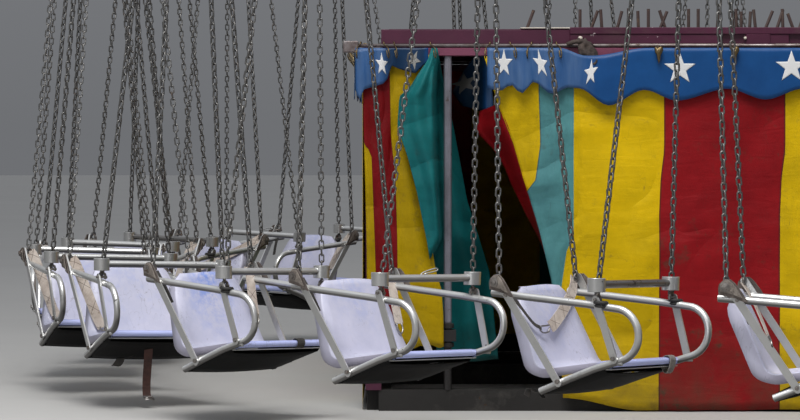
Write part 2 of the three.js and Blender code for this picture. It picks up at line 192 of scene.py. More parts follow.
# Top beam: a pressed plum steel beam on top of the rail. Right of the doorway it has a cover strip with a rolled
# upper edge, open pockets, a bolted joint plate and a lower edge in worn cream paint.

beam_bottom, beam_top = 1.4073, 1.4643
beam_half = (2.180, 1.742)
beam_width = 0.060
cover_start, cover_depth = -1.458, 0.012


def mesh_of(name, shape):
    mesh = bpy.data.meshes.new(name)
    shape.to_mesh(mesh)
    shape.free()
    return mesh


def new_object(name, data):
    made = bpy.data.objects.new(name, data)
    bpy.context.scene.collection.objects.link(made)
    return made


def finish_mesh(name, shape):
    bmesh.ops.recalc_face_normals(shape, faces=shape.faces)
    return mesh_of(name, shape)


def boxes(corners, edge=0.0015):
    """Several boxes, each given as (low corner, high corner), with their edges rounded off."""
    shape = bmesh.new()
    for low, high in corners:
        low, high = Vector(low), Vector(high)
        made = bmesh.ops.create_cube(shape, size=1.0)["verts"]
        bmesh.ops.scale(shape, vec=high - low, verts=made)
        bmesh.ops.translate(shape, vec=(low + high) / 2, verts=made)
    bmesh.ops.bevel(shape, geom=list(shape.edges), offset=edge, segments=1, affect="EDGES")
    return shape


def add_piece(name, mesh, material, body, smooth=False):
    """Puts a mesh, or an open bmesh, in the scene as a piece of its own, riding on one body."""
    if isinstance(mesh, bmesh.types.BMesh):
        mesh = finish_mesh(name, mesh)
    piece = new_object(name, mesh)
    if material:
        mesh.materials.append(material)
    if smooth:
        mesh.shade_smooth()
    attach(piece, body)
    return piece


def top_beam_corners():
    """The four sides of the beam. The front one is set back behind its cover, with gaps where the pockets are."""
    x, y = beam_half
    w = beam_width
    cover = y - cover_depth
    sides = [((-x, -cover, beam_bottom), (cover_start, -cover + w, beam_top - 0.003)),
             ((-x, -y, beam_bottom), (cover_start, -cover, beam_top - 0.003)),
             ((cover_start, -cover, beam_bottom), (x, -cover + w, beam_top)),
             ((-x, y - w, beam_bottom), (x, y, beam_top)),
             ((-x, -y + w, beam_bottom), (-x + w, y - w, beam_top)),
             ((x - w, -y + w, beam_bottom), (x, y - w, beam_top))]
    for start, end in ((cover_start, -0.876), (-0.788, -0.620), (-0.528, 0.35), (0.44, 1.30), (1.39, x)):
        sides.append(((start, -y, beam_bottom), (end, -cover + 0.001, 1.4440)))
    sides.append(((cover_start, -y - 0.004, 1.4450), (x, -cover + 0.001, 1.4705)))
    sides.append(((-0.784, -y - 0.004, 1.3990), (-0.692, -y + 0.002, 1.4445)))
    return sides


top_beam = add_piece("top_beam_pressing", boxes(top_beam_corners()), plum_paint, "base")
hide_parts("top_beam")

cream_paint = painted_steel("cream edge paint", (0.62, 0.56, 0.48), (0.50, 0.44, 0.38), (0.12, 0.03, 0.06),
                            chips=0.60, chip_scale=60.0, grime_and_shade=(0.26, 0.20, 0.17), rough=0.5, bare_metal=0.1)
edge_boxes = [((start, -1.7465, 1.4012), (end, -1.7415, 1.4070))
              for start, end in ((-1.251, -0.792), (-0.670, 0.40), (0.43, 2.17))]
add_piece("beam_lower_edge", boxes(edge_boxes, 0.0008), cream_paint, "base")
sheet_boxes = [((-1.646, -1.745, 1.4660), (cover_start, -1.60, 1.4700)),
               ((-1.60, -1.30, 1.4660), (-1.40, -1.10, 1.4690))]
add_piece("loose_plates", boxes(sheet_boxes, 0.0008), cream_paint, "base")


# Curtain rail: a plum box rail under the beam, with a bright steel pipe along its front that the hooks hang on.
# Grey end blocks close the rail where it runs past the corners.

def skin(shape, rings, closed=False):
    """Faces between each ring of points and the next; closed joins the last ring to the first."""
    faces = []
    for low, high in zip(rings, rings[1:] + (rings[:1] if closed else [])):
        for k in range(len(low)):
            n = (k + 1) % len(low)
            faces.append(shape.faces.new((low[k], low[n], high[n], high[k])))
    return faces


def plate(shape, rings):
    """A skin over the rings, closed at both ends."""
    return [shape.faces.new(rings[0]), shape.faces.new(rings[-1])] + skin(shape, rings)


def tube_mesh(shape, points, radius, sides=12, ends=True):
    """Sweeps a circle along points into the open bmesh, with mitred bends and closed, slightly domed ends."""
    points = [Vector(p) for p in points]
    heads = [(b - a).normalized() for a, b in zip(points, points[1:])]
    turns = [2 * math.pi * k / sides for k in range(sides)]
    rings = []
    normal = heads[0].orthogonal().normalized()
    for i, point in enumerate(points):
        along = (heads[max(i - 1, 0)] + heads[min(i, len(heads) - 1)]).normalized()
        normal = (normal - along * normal.dot(along)).normalized()
        other = along.cross(normal)
        rings.append([shape.verts.new(point + (normal * math.cos(turn) + other * math.sin(turn)) * radius)
                      for turn in turns])
    skin(shape, rings)
    if ends:
        for ring, point, head in ((rings[0][::-1], points[0], -heads[0]), (rings[-1], points[-1], heads[-1])):
            tip = shape.verts.new(point + head * radius * 0.25)
            for a, b in zip(ring, ring[1:] + ring[:1]):
                shape.faces.new((a, b, tip))


worn_steel = painted_steel("worn rail steel", (0.34, 0.31, 0.31), (0.22, 0.19, 0.19), (0.07, 0.035, 0.025),
                           chips=0.58, grime_and_shade=(0.10, 0.065, 0.06), dirt=0.46, rough=0.40, metal=0.7, bare_metal=0.2)
pink_primer = painted_steel("faded rail paint", (0.20, 0.050, 0.095), (0.14, 0.030, 0.065), (0.36, 0.30, 0.31),
                            chips=0.62, grime_and_shade=(0.09, 0.030, 0.045), rough=0.5, bare_metal=0.4)
rail_side, rail_low, rail_high = 2.250, 1.3610, 1.3930
pipe_x, pipe_y, pipe_level, pipe_radius = 2.2445, 1.743, 1.4010, 0.0065
rail_boxes = []
for hand in (-1, 1):
    low, high = sorted((hand * 1.750, hand * 1.700))
    rail_boxes.append(((-2.270, low + 0.004, rail_low), (2.270, high, rail_high)))
    low, high = sorted((hand * rail_side, hand * (rail_side - 0.050)))
    rail_boxes.append(((low, -1.70, rail_low), (high, 1.70, rail_high)))
rail = add_piece("curtain_rail_box", boxes(rail_boxes, 0.003), pink_primer, "base")
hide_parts("curtain_rail")
blocks = []
for hand in (-1, 1):
    for end in (-1, 1):
        low_x, high_x = sorted((hand * 2.326, hand * 2.266))
        low_y, high_y = sorted((end * 1.755, end * 1.700))
        blocks.append(((low_x, low_y, 1.3740), (high_x, high_y, 1.4180)))
add_piece("rail_end_blocks", boxes(blocks, 0.004), worn_steel, "base")
pipe = bmesh.new()
for hand in (-1, 1):
    tube_mesh(pipe, [(end * 2.27, hand * pipe_y, pipe_level) for end in (-1, 1)], pipe_radius)
    tube_mesh(pipe, [(hand * pipe_x, end * 1.72, pipe_level) for end in (-1, 1)], pipe_radius)
add_piece("curtain_pipe", pipe, worn_steel, "base", smooth=True)


# Door poles: thin steel tubes in grey paint, one on each side of the doorway. Each is held at knee height by a
# clamp of two collars with a knob, black with grease.

def pole_material():
    """Grey paint, which stops at the clamp: the clamp and the foot below it are black with grease."""
    material, tree, shader, place = blank_material("door pole paint")
    at = place.outputs["Object"]
    cloudy = patches(tree, at, 16.0, 0.42, 0.2)
    colour = mixed(tree, cloudy, (0.19, 0.185, 0.22, 1), (0.12, 0.115, 0.135, 1))
    rusty = patches(tree, at, 60.0, 0.60, 0.03)
    colour = mixed(tree, rusty, colour, (0.05, 0.03, 0.022, 1))
    height = put(tree, "ShaderNodeSeparateXYZ", {0: at})
    low = ranged(tree, height.outputs[2], 0.345, 0.335)
    colour = mixed(tree, low, colour, (0.014, 0.012, 0.012, 1))
    roughness = ranged(tree, cloudy, low=0.42, high=0.6)
    bump = bumped(tree, rusty, 0.3, 0.001)
    fill(tree, shader, {"Base Color": colour, "Roughness": roughness, "Normal": bump})
    return material


pole_paint = pole_material()
for hand in ("left", "right"):
    finish_node(f"door_pole_{hand}", pole_paint)
clamps = bmesh.new()
pole_x, pole_y, knob_y = 1.925, -1.725, -1.738
for side in (-1, 1):
    x = side * pole_x
    for low, high in ((0.245, 0.262), (0.318, 0.335)):
        tube_mesh(clamps, [(x, pole_y, low), (x, pole_y, high)], 0.024, 16)
    for start, end, radius, sides in ((0.060, 0.030, 0.007, 10), (0.078, 0.060, 0.017, 12)):
        tube_mesh(clamps, [(x - start, knob_y, 0.290), (x - end, knob_y, 0.290)], radius, sides)
add_piece("pole_clamps", clamps, dark_paint, "base")


# Rods on the top beam: short lengths of dark bar, left standing or leaning in the deck's edge holes.
# Each is a bar of eight sides set on a point of a plain mesh; its length and lean are values of that point.

def repeat_group(name, inputs):
    """A Geometry Nodes group that repeats a part in one material."""
    inputs = [("Geometry", "Geometry", None), *inputs, ("Material", "Material", None)]
    return open_group(name, "GeometryNodeTree", inputs, ("Geometry", "Geometry"))


def named(tree, name, kind):
    return put(tree, "GeometryNodeInputNamedAttribute", {"Name": name}, data_type=kind)


def repeat_result(tree, given, result, inputs, smooth=True):
    """Sets the part on its points, makes the copies real and gives them the material."""
    made = put(tree, "GeometryNodeInstanceOnPoints", inputs)
    made = put(tree, "GeometryNodeRealizeInstances", {"Geometry": made})
    if smooth:
        made = put(tree, "GeometryNodeSetShadeSmooth", {"Geometry": made})
    made = put(tree, "GeometryNodeSetMaterial", {"Geometry": made, "Material": given["Material"]})
    fill(tree, result, {"Geometry": made})
    return tree


def bar_tree():
    tree, given, result = repeat_group("Standing rods", [("Radius", "Float", None)])
    bar = put(tree, "GeometryNodeMeshCylinder", {"Vertices": 8, "Radius": given["Radius"], "Depth": 1.0})
    raised = put(tree, "GeometryNodeTransform", {"Geometry": bar, "Translation": (0, 0, 0.5)})
    scale = put(tree, "ShaderNodeCombineXYZ", {0: 1.0, 1: 1.0, 2: named(tree, "length", "FLOAT")})
    return repeat_result(tree, given, result, {"Points": given["Geometry"], "Instance": raised,
                                               "Rotation": named(tree, "lean", "FLOAT_VECTOR"), "Scale": scale},
                         smooth=False)


def grown(name, base, tree, **values):
    """Runs a Geometry Nodes tree on a base mesh and gives its result back as a plain mesh."""
    holder = new_object(name + "_base", base)
    modifier = holder.modifiers.new("grow", "NODES")
    modifier.node_group = tree
    for item in tree.interface.items_tree:
        if item.item_type == "SOCKET" and item.in_out == "INPUT" and item.name in values:
            modifier[item.identifier] = values[item.name]
    bpy.context.view_layer.update()
    shown = holder.evaluated_get(bpy.context.evaluated_depsgraph_get())
    mesh = bpy.data.meshes.new_from_object(shown)
    mesh.name = name
    holder.modifiers.remove(modifier)
    bpy.data.objects.remove(holder)
    bpy.data.meshes.remove(base)
    return mesh


rod_paint = painted_steel("rod paint", (0.060, 0.034, 0.030), (0.038, 0.024, 0.020), (0.11, 0.07, 0.05), chips=0.58,
                          chip_scale=90.0, grime_and_shade=(0.075, 0.058, 0.045), rough=0.55, bare_metal=0.4)
# along the front edge: place on the beam in millimetres, lean to the right in degrees, length
front_rods = ((-1622, 20, 78), (-1418, 0, 76), (-1376, 20, 76), (-1334, -4, 76), (-1276, 15, 72), (-1232, 0, 80),
              (-1194, -2, 70), (-1156, 0, 78), (-1112, 22, 74), (-1090, -18, 76), (-1002, 0, 78), (-965, 0, 78),
              (-892, 4, 78), (-832, 0, 66), (-818, -2, 78), (-800, 0, 68), (-768, 3, 68), (-745, -6, 76),
              (-708, 22, 76), (-664, 18, 78), (-640, -2, 78), (-600, -20, 64), (-578, 18, 70), (-520, 0, 74),
              (-455, 8, 70), (-380, 0, 78), (-300, -14, 76), (-190, 0, 70), (-60, 10, 76), (90, 0, 78),
              (250, -6, 70), (420, 0, 76), (640, 15, 72), (830, 0, 78), (1060, -10, 70), (1290, 0, 76),
              (1540, 4, 78), (1800, -8, 72))
rods = bpy.data.meshes.new("rods")
spots, leans, lengths = [], [], []
for x, lean, length in front_rods:
    spots.append((x / 1000, -1.712, 1.4640))
    leans.append((0.0, math.radians(lean), 0.0))
    lengths.append(length / 1000)
for x in range(-2000, 2001, 250):
    spots.append((x / 1000, 1.712, 1.4635))
    leans.append((math.radians((x * 7) % 19 - 9), math.radians((x * 13) % 31 - 15), 0.0))
    lengths.append(0.070 + (x % 3) * 0.004)
rods.from_pydata(spots, [], [])
rods.attributes.new("length", "FLOAT", "POINT").data.foreach_set("value", lengths)
rods.attributes.new("lean", "FLOAT_VECTOR", "POINT").data.foreach_set("vector", [v for lean in leans for v in lean])
rod_mesh = grown("beam_rods", rods, bar_tree(), Radius=0.0061, Material=rod_paint)
add_piece("beam_rods", rod_mesh, None, "base")


# Curtains: coated tent cloth in sewn upright stripes of red, yellow, teal and yellow, hung on all four sides.
# The cloth is laid out here as a grid with its flat width in metres in its UV map, so stripes and seams follow it.

stripe_period = 1.465
stripe_ends = (0.460, 0.795, 1.130)
cloth_red, cloth_yellow, cloth_teal = (0.265, 0.006, 0.010), (0.640, 0.430, 0.001), (0.010, 0.150, 0.160)


black, white = (0, 0, 0), (1, 1, 1)
seam_half = 0.0015


def ramped(tree, value, stops, interpolation="CONSTANT"):
    """A colour that changes along a value; stops are (place, colour), the first at 0."""
    ramp = put(tree, "ShaderNodeValToRGB", {0: value})
    ramp.color_ramp.interpolation = interpolation
    elements = ramp.color_ramp.elements
    elements.remove(elements[1])
    elements[0].color = (*stops[0][1], 1)
    for at, colour in stops[1:]:
        elements.new(at).color = (*colour, 1)
    return ramp


def striped_cloth_material(name, teal, painted_shade_tone=1.0):
    """Stripes along u with seams between them, faded in patches, stained, and muddy towards the hem at v = 0."""
    material, tree, shader, place = blank_material(name)
    uv = place.outputs["UV"]
    apart = put(tree, "ShaderNodeSeparateXYZ", {0: uv})
    across = sums(tree, "MULTIPLY", apart, 1 / stripe_period)
    repeat = sums(tree, "FRACT", across)
    ends = [end / stripe_period for end in stripe_ends]
    stripes = ramped(tree, repeat, [(0.0, cloth_red), *zip(ends, (cloth_yellow, teal, cloth_yellow))])
    marks = [(0.0, white), (seam_half, black)]
    for end in ends:
        marks += [(end - seam_half, white), (end + seam_half, black)]
    seams = ramped(tree, repeat, marks)
    faded = patches(tree, uv, 7.0, 0.40, 0.25)
    # a tone below 1 darkens the whole cloth: painted shade
    dull, bright = Vector((0.74, 0.74, 0.74)) * painted_shade_tone, Vector((1.10, 1.07, 1.02)) * painted_shade_tone
    colour = mixed(tree, faded, (*dull, 1), (*bright, 1))
    colour = mixed(tree, 1.0, stripes, colour, "MULTIPLY")
    stained = patches(tree, uv, 24.0, 0.57, 0.09)
    low = ranged(tree, apart.outputs[1], 0.9, 0.0, 0.30, 0.90)
    stain = sums(tree, "MULTIPLY", stained, low)
    colour = mixed(tree, stain, colour, (0.055, 0.045, 0.028, 1))
    foot = ranged(tree, apart.outputs[1], 0.34, 0.0, 0.0, 0.62)
    patchy = patches(tree, uv, 11.0, 0.36, 0.2)
    muddy = sums(tree, "MULTIPLY", foot, patchy)
    colour = mixed(tree, muddy, colour, (0.070, 0.050, 0.030, 1))
    scuffed = grouped(tree, scratch_group, uv, Stretch=(30.0, 5.0, 1.0), Turn=(0.0, 0.0, 0.5), Width=0.004)
    scuff = sums(tree, "MULTIPLY", scuffed, 0.45)
    colour = mixed(tree, scuff, colour, (0.05, 0.04, 0.03, 1))
    seam = sums(tree, "MULTIPLY", seams, 0.55)
    colour = mixed(tree, seam, colour, (0.03, 0.02, 0.015, 1))
    roughness = ranged(tree, stained, low=0.46, high=0.75)
    wide = put(tree, "ShaderNodeMapping", {"Vector": uv, "Scale": (5.0, 22.0, 1.0), "Rotation": (0, 0, 0.12)})
    wrinkles = put(tree, "ShaderNodeTexNoise", {"Vector": wide, "Scale": 1.0, "Detail": 4.0, "Distortion": 0.8})
    slanted = put(tree, "ShaderNodeMapping", {"Vector": uv, "Scale": (1.5, 2.9, 1.0), "Rotation": (0, 0, -0.55)})
    folds = put(tree, "ShaderNodeTexNoise", {"Vector": slanted, "Scale": 1.0, "Detail": 1.5, "Distortion": 0.7})
    ridge = sums(tree, "ABSOLUTE", sums(tree, "SUBTRACT", folds, 0.5))
    both = sums(tree, "MULTIPLY_ADD", ridge, 22.0, wrinkles)
    weave = put(tree, "ShaderNodeTexChecker", {"Vector": uv, "Scale": 900.0})
    relief = sums(tree, "MULTIPLY_ADD", weave.outputs["Fac"], 0.035, both)
    pressed = sums(tree, "MULTIPLY_ADD", seams, 0.22, relief)
    bump = bumped(tree, pressed, 0.7, 0.0042)
    fill(tree, shader, {"Base Color": colour, "Roughness": roughness, "Specular IOR Level": 0.13, "Normal": bump})
    return material


striped_cloth = striped_cloth_material("striped tent cloth", cloth_teal)
bleached_cloth = striped_cloth_material("bleached tent cloth", (0.085, 0.26, 0.28))
# the left flap's cloth, darkened to two thirds as painted shade
shade_darkened_cloth = striped_cloth_material("shade darkened tent cloth", cloth_teal, 0.66)


def between(line, at):
    """Value on a line of (place, value) points, which run in one direction."""
    points = sorted(line)
    if at <= points[0][0]:
        return points[0][1]
    for (a, va), (b, vb) in zip(points, points[1:]):
        if at <= b:
            return va + (vb - va) * (at - a) / (b - a)
    return points[-1][1]


def smooth(value):
    value = min(max(value, 0.0), 1.0)
    return value * value * (3 - 2 * value)


def rough(x, y, z):
    return noise.noise(Vector((x, y, z)))


def wall_fold(x, z, seed):
    """How far a hanging wall stands off the rail: broad soft folds that open downwards, and a few sharp creases."""
    sway = rough(x * 0.9, z * 0.6, seed)
    broad = 0.5 + 0.5 * math.sin(x * 2 * math.pi / 0.56 + 2.2 * sway)
    fine = 0.5 + 0.5 * math.sin(x * 2 * math.pi / 0.17 + 3.0 * sway + z)
    crease = abs(rough(x * 2.2 + z * 1.7, z * 2.6 - x * 0.8, seed + 4.0))
    second = abs(rough(x * 5.0 - z * 3.0, z * 6.0 + x * 1.5, seed + 9.0))
    slant = abs(rough(x * 2.6 + z * 3.1, z * 2.2 - x * 1.7, seed + 2.0))
    drop = smooth((1.36 - z) / 0.9)
    return (0.003 + 0.012 * broad * (0.15 + 0.85 * drop) + 0.003 * fine * (0.3 + 0.7 * drop)
            + (0.018 * crease + 0.030 * slant + 0.010 * second) * (0.15 + 0.85 * drop))


def uv_face(shape, corners):
    """A face from (vert, uv) pairs."""
    layer = shape.loops.layers.uv.verify()
    face = shape.faces.new([vert for vert, uv in corners])
    for loop, (vert, uv) in zip(face.loops, corners):
        loop[layer].uv = uv


def uv_rows(shape, rows):
    """Faces between rows of (vert, uv) pairs."""
    for low, high in zip(rows, rows[1:]):
        for k in range(len(low) - 1):
            uv_face(shape, (low[k], high[k], high[k + 1], low[k + 1]))


def cloth_grid(shape, across, down, point, flat):
    """A grid of cloth; point and flat give place and UV for s across and t down, both from 0 to 1."""
    steps = [i / across for i in range(across + 1)]
    uv_rows(shape, [[(shape.verts.new(point(s, j / down)), flat(s, j / down)) for s in steps]
                    for j in range(down + 1)])


def thicken(piece, thickness, offset=0.0):
    wall = piece.modifiers.new("thickness", "SOLIDIFY")
    wall.thickness, wall.offset = thickness, offset
    return wall


def cut_and_hang(name, shape, material):
    area = sum(face.calc_area() for face in shape.faces)
    piece = add_piece(name, mesh_of(name, shape), material, "base", smooth=True)
    thicken(piece, 0.0016)
    return piece


def wall_place(turn, x, y):
    return Matrix.Translation((x, y, 0)) @ Matrix.Rotation(math.radians(turn), 4, "Z")


cloth_top, cloth_bottom = 1.390, 0.005
wall_y, wall_x = 1.7503, 2.2503


def plain_wall(name, half, turn, x, y, seed, bulge=0.5):
    """A whole side's curtain; bulge is how much of the wall's folds it takes."""
    place = wall_place(turn, x, y)

    def point(s, t):
        at, z = -half + 2 * half * s, cloth_top + (cloth_bottom - cloth_top) * t
        hem = 0.012 * rough(at * 3.0, seed, 0.0) if t == 1 else 0.0
        inward = smooth((half - abs(at)) / 0.25)
        return place @ Vector((at, -0.004 - bulge * inward * wall_fold(at, z, seed), z + max(hem, 0.0)))

    shape = bmesh.new()
    cloth_grid(shape, round(2 * half / 0.034), 36, point,
               lambda s, t: (seed * 0.37 + 2 * half * s, cloth_top * (1 - t)))
    return cut_and_hang(name, shape, striped_cloth)


back_cloth = plain_wall("back_curtain_cloth", 2.268, 180, 0, wall_y, 1.0)
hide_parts("curtain_back")
left_cloth = plain_wall("left_curtain_cloth", 1.690, -90, -2.2473, 0, 2.0, 0.12)
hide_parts("curtain_left")
right_cloth = plain_wall("right_curtain_cloth", 1.690, 90, wall_x, 0, 3.0)
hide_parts("curtain_right")


# Front curtain, right of the doorway: one cloth that hangs from the pipe on hooks and has bleached in the sun.
# Its free edge is drawn back to the right and folds under, red side out.

door_edge = ((1.391, -1.795), (1.185, -1.737), (1.027, -1.675), (0.886, -1.635), (0.807, -1.609), (0.688, -1.574),
             (0.570, -1.545), (0.494, -1.527), (0.072, -1.486), (0.0, -1.484))
teal_from = ((0.829, -1.640), (0.869, -1.600), (0.886, -1.5915), (1.027, -1.572), (1.225, -1.579))
teal_to = ((0.0, -1.492), (0.477, -1.492), (0.623, -1.471), (0.67, -1.446), (1.3, -1.445))
red_from = ((0.75, -1.119), (0.90, -1.112), (1.0, -1.099))


def front_wall_point(s, t):
    z = 1.360 + (cloth_bottom - 1.360) * t
    edge = between(door_edge, z)
    x = edge + (2.268 - edge) * s ** 1.25
    pull = 0.022 * math.exp(-((x - edge) / 0.07) ** 2)
    gather = 0.010 * math.exp(-((x + 1.51) / 0.12) ** 2) * (0.5 + 0.5 * math.sin(x * 95 + z * 2))
    hem = 0.014 * abs(rough(x * 2.5, 7.0, 0.0)) + 0.042 * smooth((-1.20 - x) / 0.30)
    return Vector((x, -1.7545 - wall_fold(x, z, 5.3) - gather + pull * 0.6, z + hem * smooth(t * 3 - 2)))


def front_wall_flat(s, t):
    point = front_wall_point(s, t)
    first, last, red = [between(line, point.z) for line in (teal_from, teal_to, red_from)]
    line = ((first - 0.42, 0.165), (first + 0.03, 0.840), (last - 0.035, 1.0145), (last + 0.035, 1.2455),
            (red - 0.05, 1.415), (2.30, 3.765 - red))
    return between(line, point.x), point.z


front_cloth = bmesh.new()
cloth_grid(front_cloth, 120, 40, front_wall_point, front_wall_flat)
front_right = cut_and_hang("front_curtain_cloth", front_cloth, bleached_cloth)
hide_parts("curtain_front_right")

turned_width = ((0.62, 0.002), (0.67, 0.010), (0.76, 0.032), (0.886, 0.050), (0.955, 0.055), (1.03, 0.080),
                (1.10, 0.118), (1.18, 0.070))


def turned_edge_point(s, t):
    z = 1.18 - 0.58 * t
    x = between(door_edge, z) + 0.006
    return Vector((x - between(turned_width, z) * s, -1.748 + 0.150 * smooth(s) + 0.005 * math.sin(s * 5 + z * 16),
                   z - 0.03 * s * (1 - t)))


turned_edge = bmesh.new()
cloth_grid(turned_edge, 8, 30, turned_edge_point, lambda s, t: (0.08 + 0.12 * s, 0.7 - 0.58 * t))
cut_and_hang("front_curtain_turned_edge", turned_edge, striped_cloth)


# Front curtain, left of the doorway: a short stretch of the same striped cloth at the corner, red and yellow,
# darkened all over with painted shade and hung from the pipe. It ends above the ground.

left_edge = ((1.39, -2.262), (1.235, -2.250), (1.03, -2.246), (0.952, -2.243), (0.657, -2.236), (0.0, -2.232))
left_red_start = ((1.39, -2.262), (1.03, -2.246), (0.985, -2.217), (0.80, -2.209), (0.60, -2.202), (0.0, -2.180))
left_red_end = ((1.39, -2.150), (1.05, -2.143), (0.90, -2.126), (0.66, -2.119), (0.0, -2.114))
flap_right = ((1.365, -1.99), (1.25, -2.03), (1.20, -2.06), (1.10, -2.07), (0.98, -2.04), (0.76, -2.015),
              (0.657, -1.990), (0.54, -1.971), (0.468, -1.949), (0.371, -1.942), (0.20, -1.940))


def left_flap_point(s, t):
    z = 1.365 + (0.250 - 1.365) * t + 0.022 * rough(s * 9, 2.0, 0.0) * smooth(t * 8 - 7)
    left = between(left_edge, z)
    x = left + (between(flap_right, z) - left) * s
    fold = 0.010 * (0.5 + 0.5 * math.sin(s * 17 + 1.5 * z)) * smooth((1.4 - z) / 0.5)
    return Vector((x, -1.7545 - fold - 0.3 * wall_fold(x, z, 8.0), z))


def left_flap_flat(s, t):
    point = left_flap_point(s, t)
    start, end = between(left_red_start, point.z), between(left_red_end, point.z)
    grain = 0.46 / (end - start)
    line = ((-2.30, -0.12), (start - 0.002, -0.002 * grain), (end + 0.015, 0.46 + 0.015 * grain), (-1.85, 0.79))
    return between(line, point.x), point.z


left_flap = bmesh.new()
cloth_grid(left_flap, 26, 40, left_flap_point, left_flap_flat)
front_left = cut_and_hang("front_flap_cloth", left_flap, shade_darkened_cloth)
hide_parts("curtain_front_left")


# Doorway drape: the teal end of the left flap, gathered up to one hook, bulging over the yellow and then
# passing behind the pole into the doorway.

drape_left = ((1.391, -1.988), (1.342, -2.003), (1.294, -2.037), (1.246, -2.066), (1.205, -2.110), (1.089, -2.118),
              (0.979, -2.080), (0.843, -2.044), (0.657, -2.006), (0.531, -1.985), (0.399, -1.975), (0.10, -1.96))
drape_right = ((1.391, -1.966), (1.342, -1.955), (1.20, -1.925), (1.09, -1.90), (0.80, -1.845), (0.66, -1.80),
               (0.52, -1.755), (0.10, -1.71))
drape_turn = ((1.39, -1.985), (1.2, -1.992), (0.85, -1.978), (0.66, -1.968), (0.53, -2.03), (0.10, -2.03))


def drape_point(s, t):
    z = 1.391 - 1.222 * t
    left, right = between(drape_left, z), between(drape_right, z)
    x = left + (right - left) * s
    open_out = smooth((1.39 - z) / 0.12)
    past = x - between(drape_turn, z)
    depth = -1.770 - 0.050 * open_out + (0.160 * smooth(past / 0.035) + 1.2 * max(past - 0.02, 0.0)) * open_out
    fold = 0.011 * math.sin(s * 15 + 0.8 * math.sin(z * 5)) * open_out
    fine = 0.010 * rough(x * 16, z * 5, 3.0) + 0.006 * abs(rough(x * 9, z * 11, 1.0))
    rolled = 0.012 * math.exp(-(s / 0.07) ** 2) * open_out
    return Vector((x, depth + fold + fine + rolled, z))


drape = bmesh.new()
cloth_grid(drape, 40, 60, drape_point, lambda s, t: (0.83 + 0.28 * s, 1.39 - 1.22 * t))
cut_and_hang("doorway_drape", drape, striped_cloth)


# Valances: blue coated cloth with a scalloped lower edge and sewn white stars, hung over the top of each curtain.
# They are hooked up by hand, so beside the doorway the front one is bunched together and one stretch sags.

def banded(tree, value, levels):
    """A grey level that changes along a value, given as (place, level) points from 0 to 1."""
    return ramped(tree, value, [(at, (level, level, level)) for at, level in levels], "LINEAR")


def doorway_shade(tree, place):
    """Painted shade on the blue cloth where it hangs inside the doorway, and its place along the front."""
    here = put(tree, "ShaderNodeSeparateXYZ", {0: place.outputs["Object"]})
    front = ranged(tree, here.outputs[1], -1.2, -1.4)
    along = ranged(tree, here, -2.30, -1.30)
    dark = banded(tree, along, ((0, 0), (0.12, 0), (0.15, 0.7), (0.28, 0.75), (0.30, 0), (0.34, 0), (0.36, 0.88),
                                (0.51, 0.88), (0.525, 0), (1, 0)))
    return sums(tree, "MULTIPLY", dark, front), along, front


def valance_material():
    """Blue cloth; beside the doorway it has faded in the light, and it is darkened with painted shade where it hangs
    inside.
    """
    material, tree, shader, place = blank_material("blue valance cloth")
    uv = place.outputs["UV"]
    faded = patches(tree, uv, 9.0, 0.36, 0.3)
    colour = mixed(tree, faded, (0.003, 0.046, 0.165, 1), (0.007, 0.070, 0.230, 1))
    stained = patches(tree, uv, 26.0, 0.60, 0.10)
    stain = sums(tree, "MULTIPLY", stained, 0.5)
    colour = mixed(tree, stain, colour, (0.03, 0.05, 0.08, 1))
    shaded, along, front = doorway_shade(tree, place)
    pale = banded(tree, along, ((0, 0.5), (0.11, 0.5), (0.14, 0), (0.52, 0), (0.53, 0.62), (0.86, 0.45), (0.94, 0),
                                (1, 0)))
    streaks = put(tree, "ShaderNodeMapping", {"Vector": uv, "Scale": (42.0, 4.0, 1.0)})
    level = ranged(tree, noisy(tree, streaks, 1.0, 2.0), 0.35, 0.65, 0.55, 1.25)
    bleach = sums(tree, "MULTIPLY", pale, level)
    some = sums(tree, "MULTIPLY", bleach, front)
    colour = mixed(tree, some, colour, (0.085, 0.155, 0.29, 1))
    # painted shade where the cloth hangs inside the doorway
    colour = mixed(tree, shaded, colour, (0.004, 0.014, 0.026, 1))
    roughness = ranged(tree, stained, low=0.42, high=0.65)
    ripple = put(tree, "ShaderNodeMapping", {"Vector": uv, "Scale": (30.0, 7.0, 1.0)})
    bump = bumped(tree, noisy(tree, ripple, 1.0, 3.0), 0.35, 0.004)
    fill(tree, shader, {"Base Color": colour, "Roughness": roughness, "Specular IOR Level": 0.25, "Normal": bump})
    return material


def star_material():
    material, tree, shader, place = blank_material("white star cloth")
    stained = patches(tree, place.outputs["Object"], 34.0, 0.52, 0.2)
    stain = sums(tree, "MULTIPLY", stained, 0.35)
    colour = mixed(tree, stain, (0.70, 0.70, 0.70, 1), (0.36, 0.33, 0.27, 1))
    # the stars get the same painted shade inside the doorway
    colour = mixed(tree, doorway_shade(tree, place)[0], colour, (0.05, 0.045, 0.035, 1))
    roughness = ranged(tree, stained, low=0.55, high=0.75)
    fill(tree, shader, {"Base Color": colour, "Roughness": roughness})
    return material


valance_blue, star_white = valance_material(), star_material()
valance_top, scallop, star_step = 1.391, 0.333, 0.425


star_waist, star_lift = 0.40, 0.0016


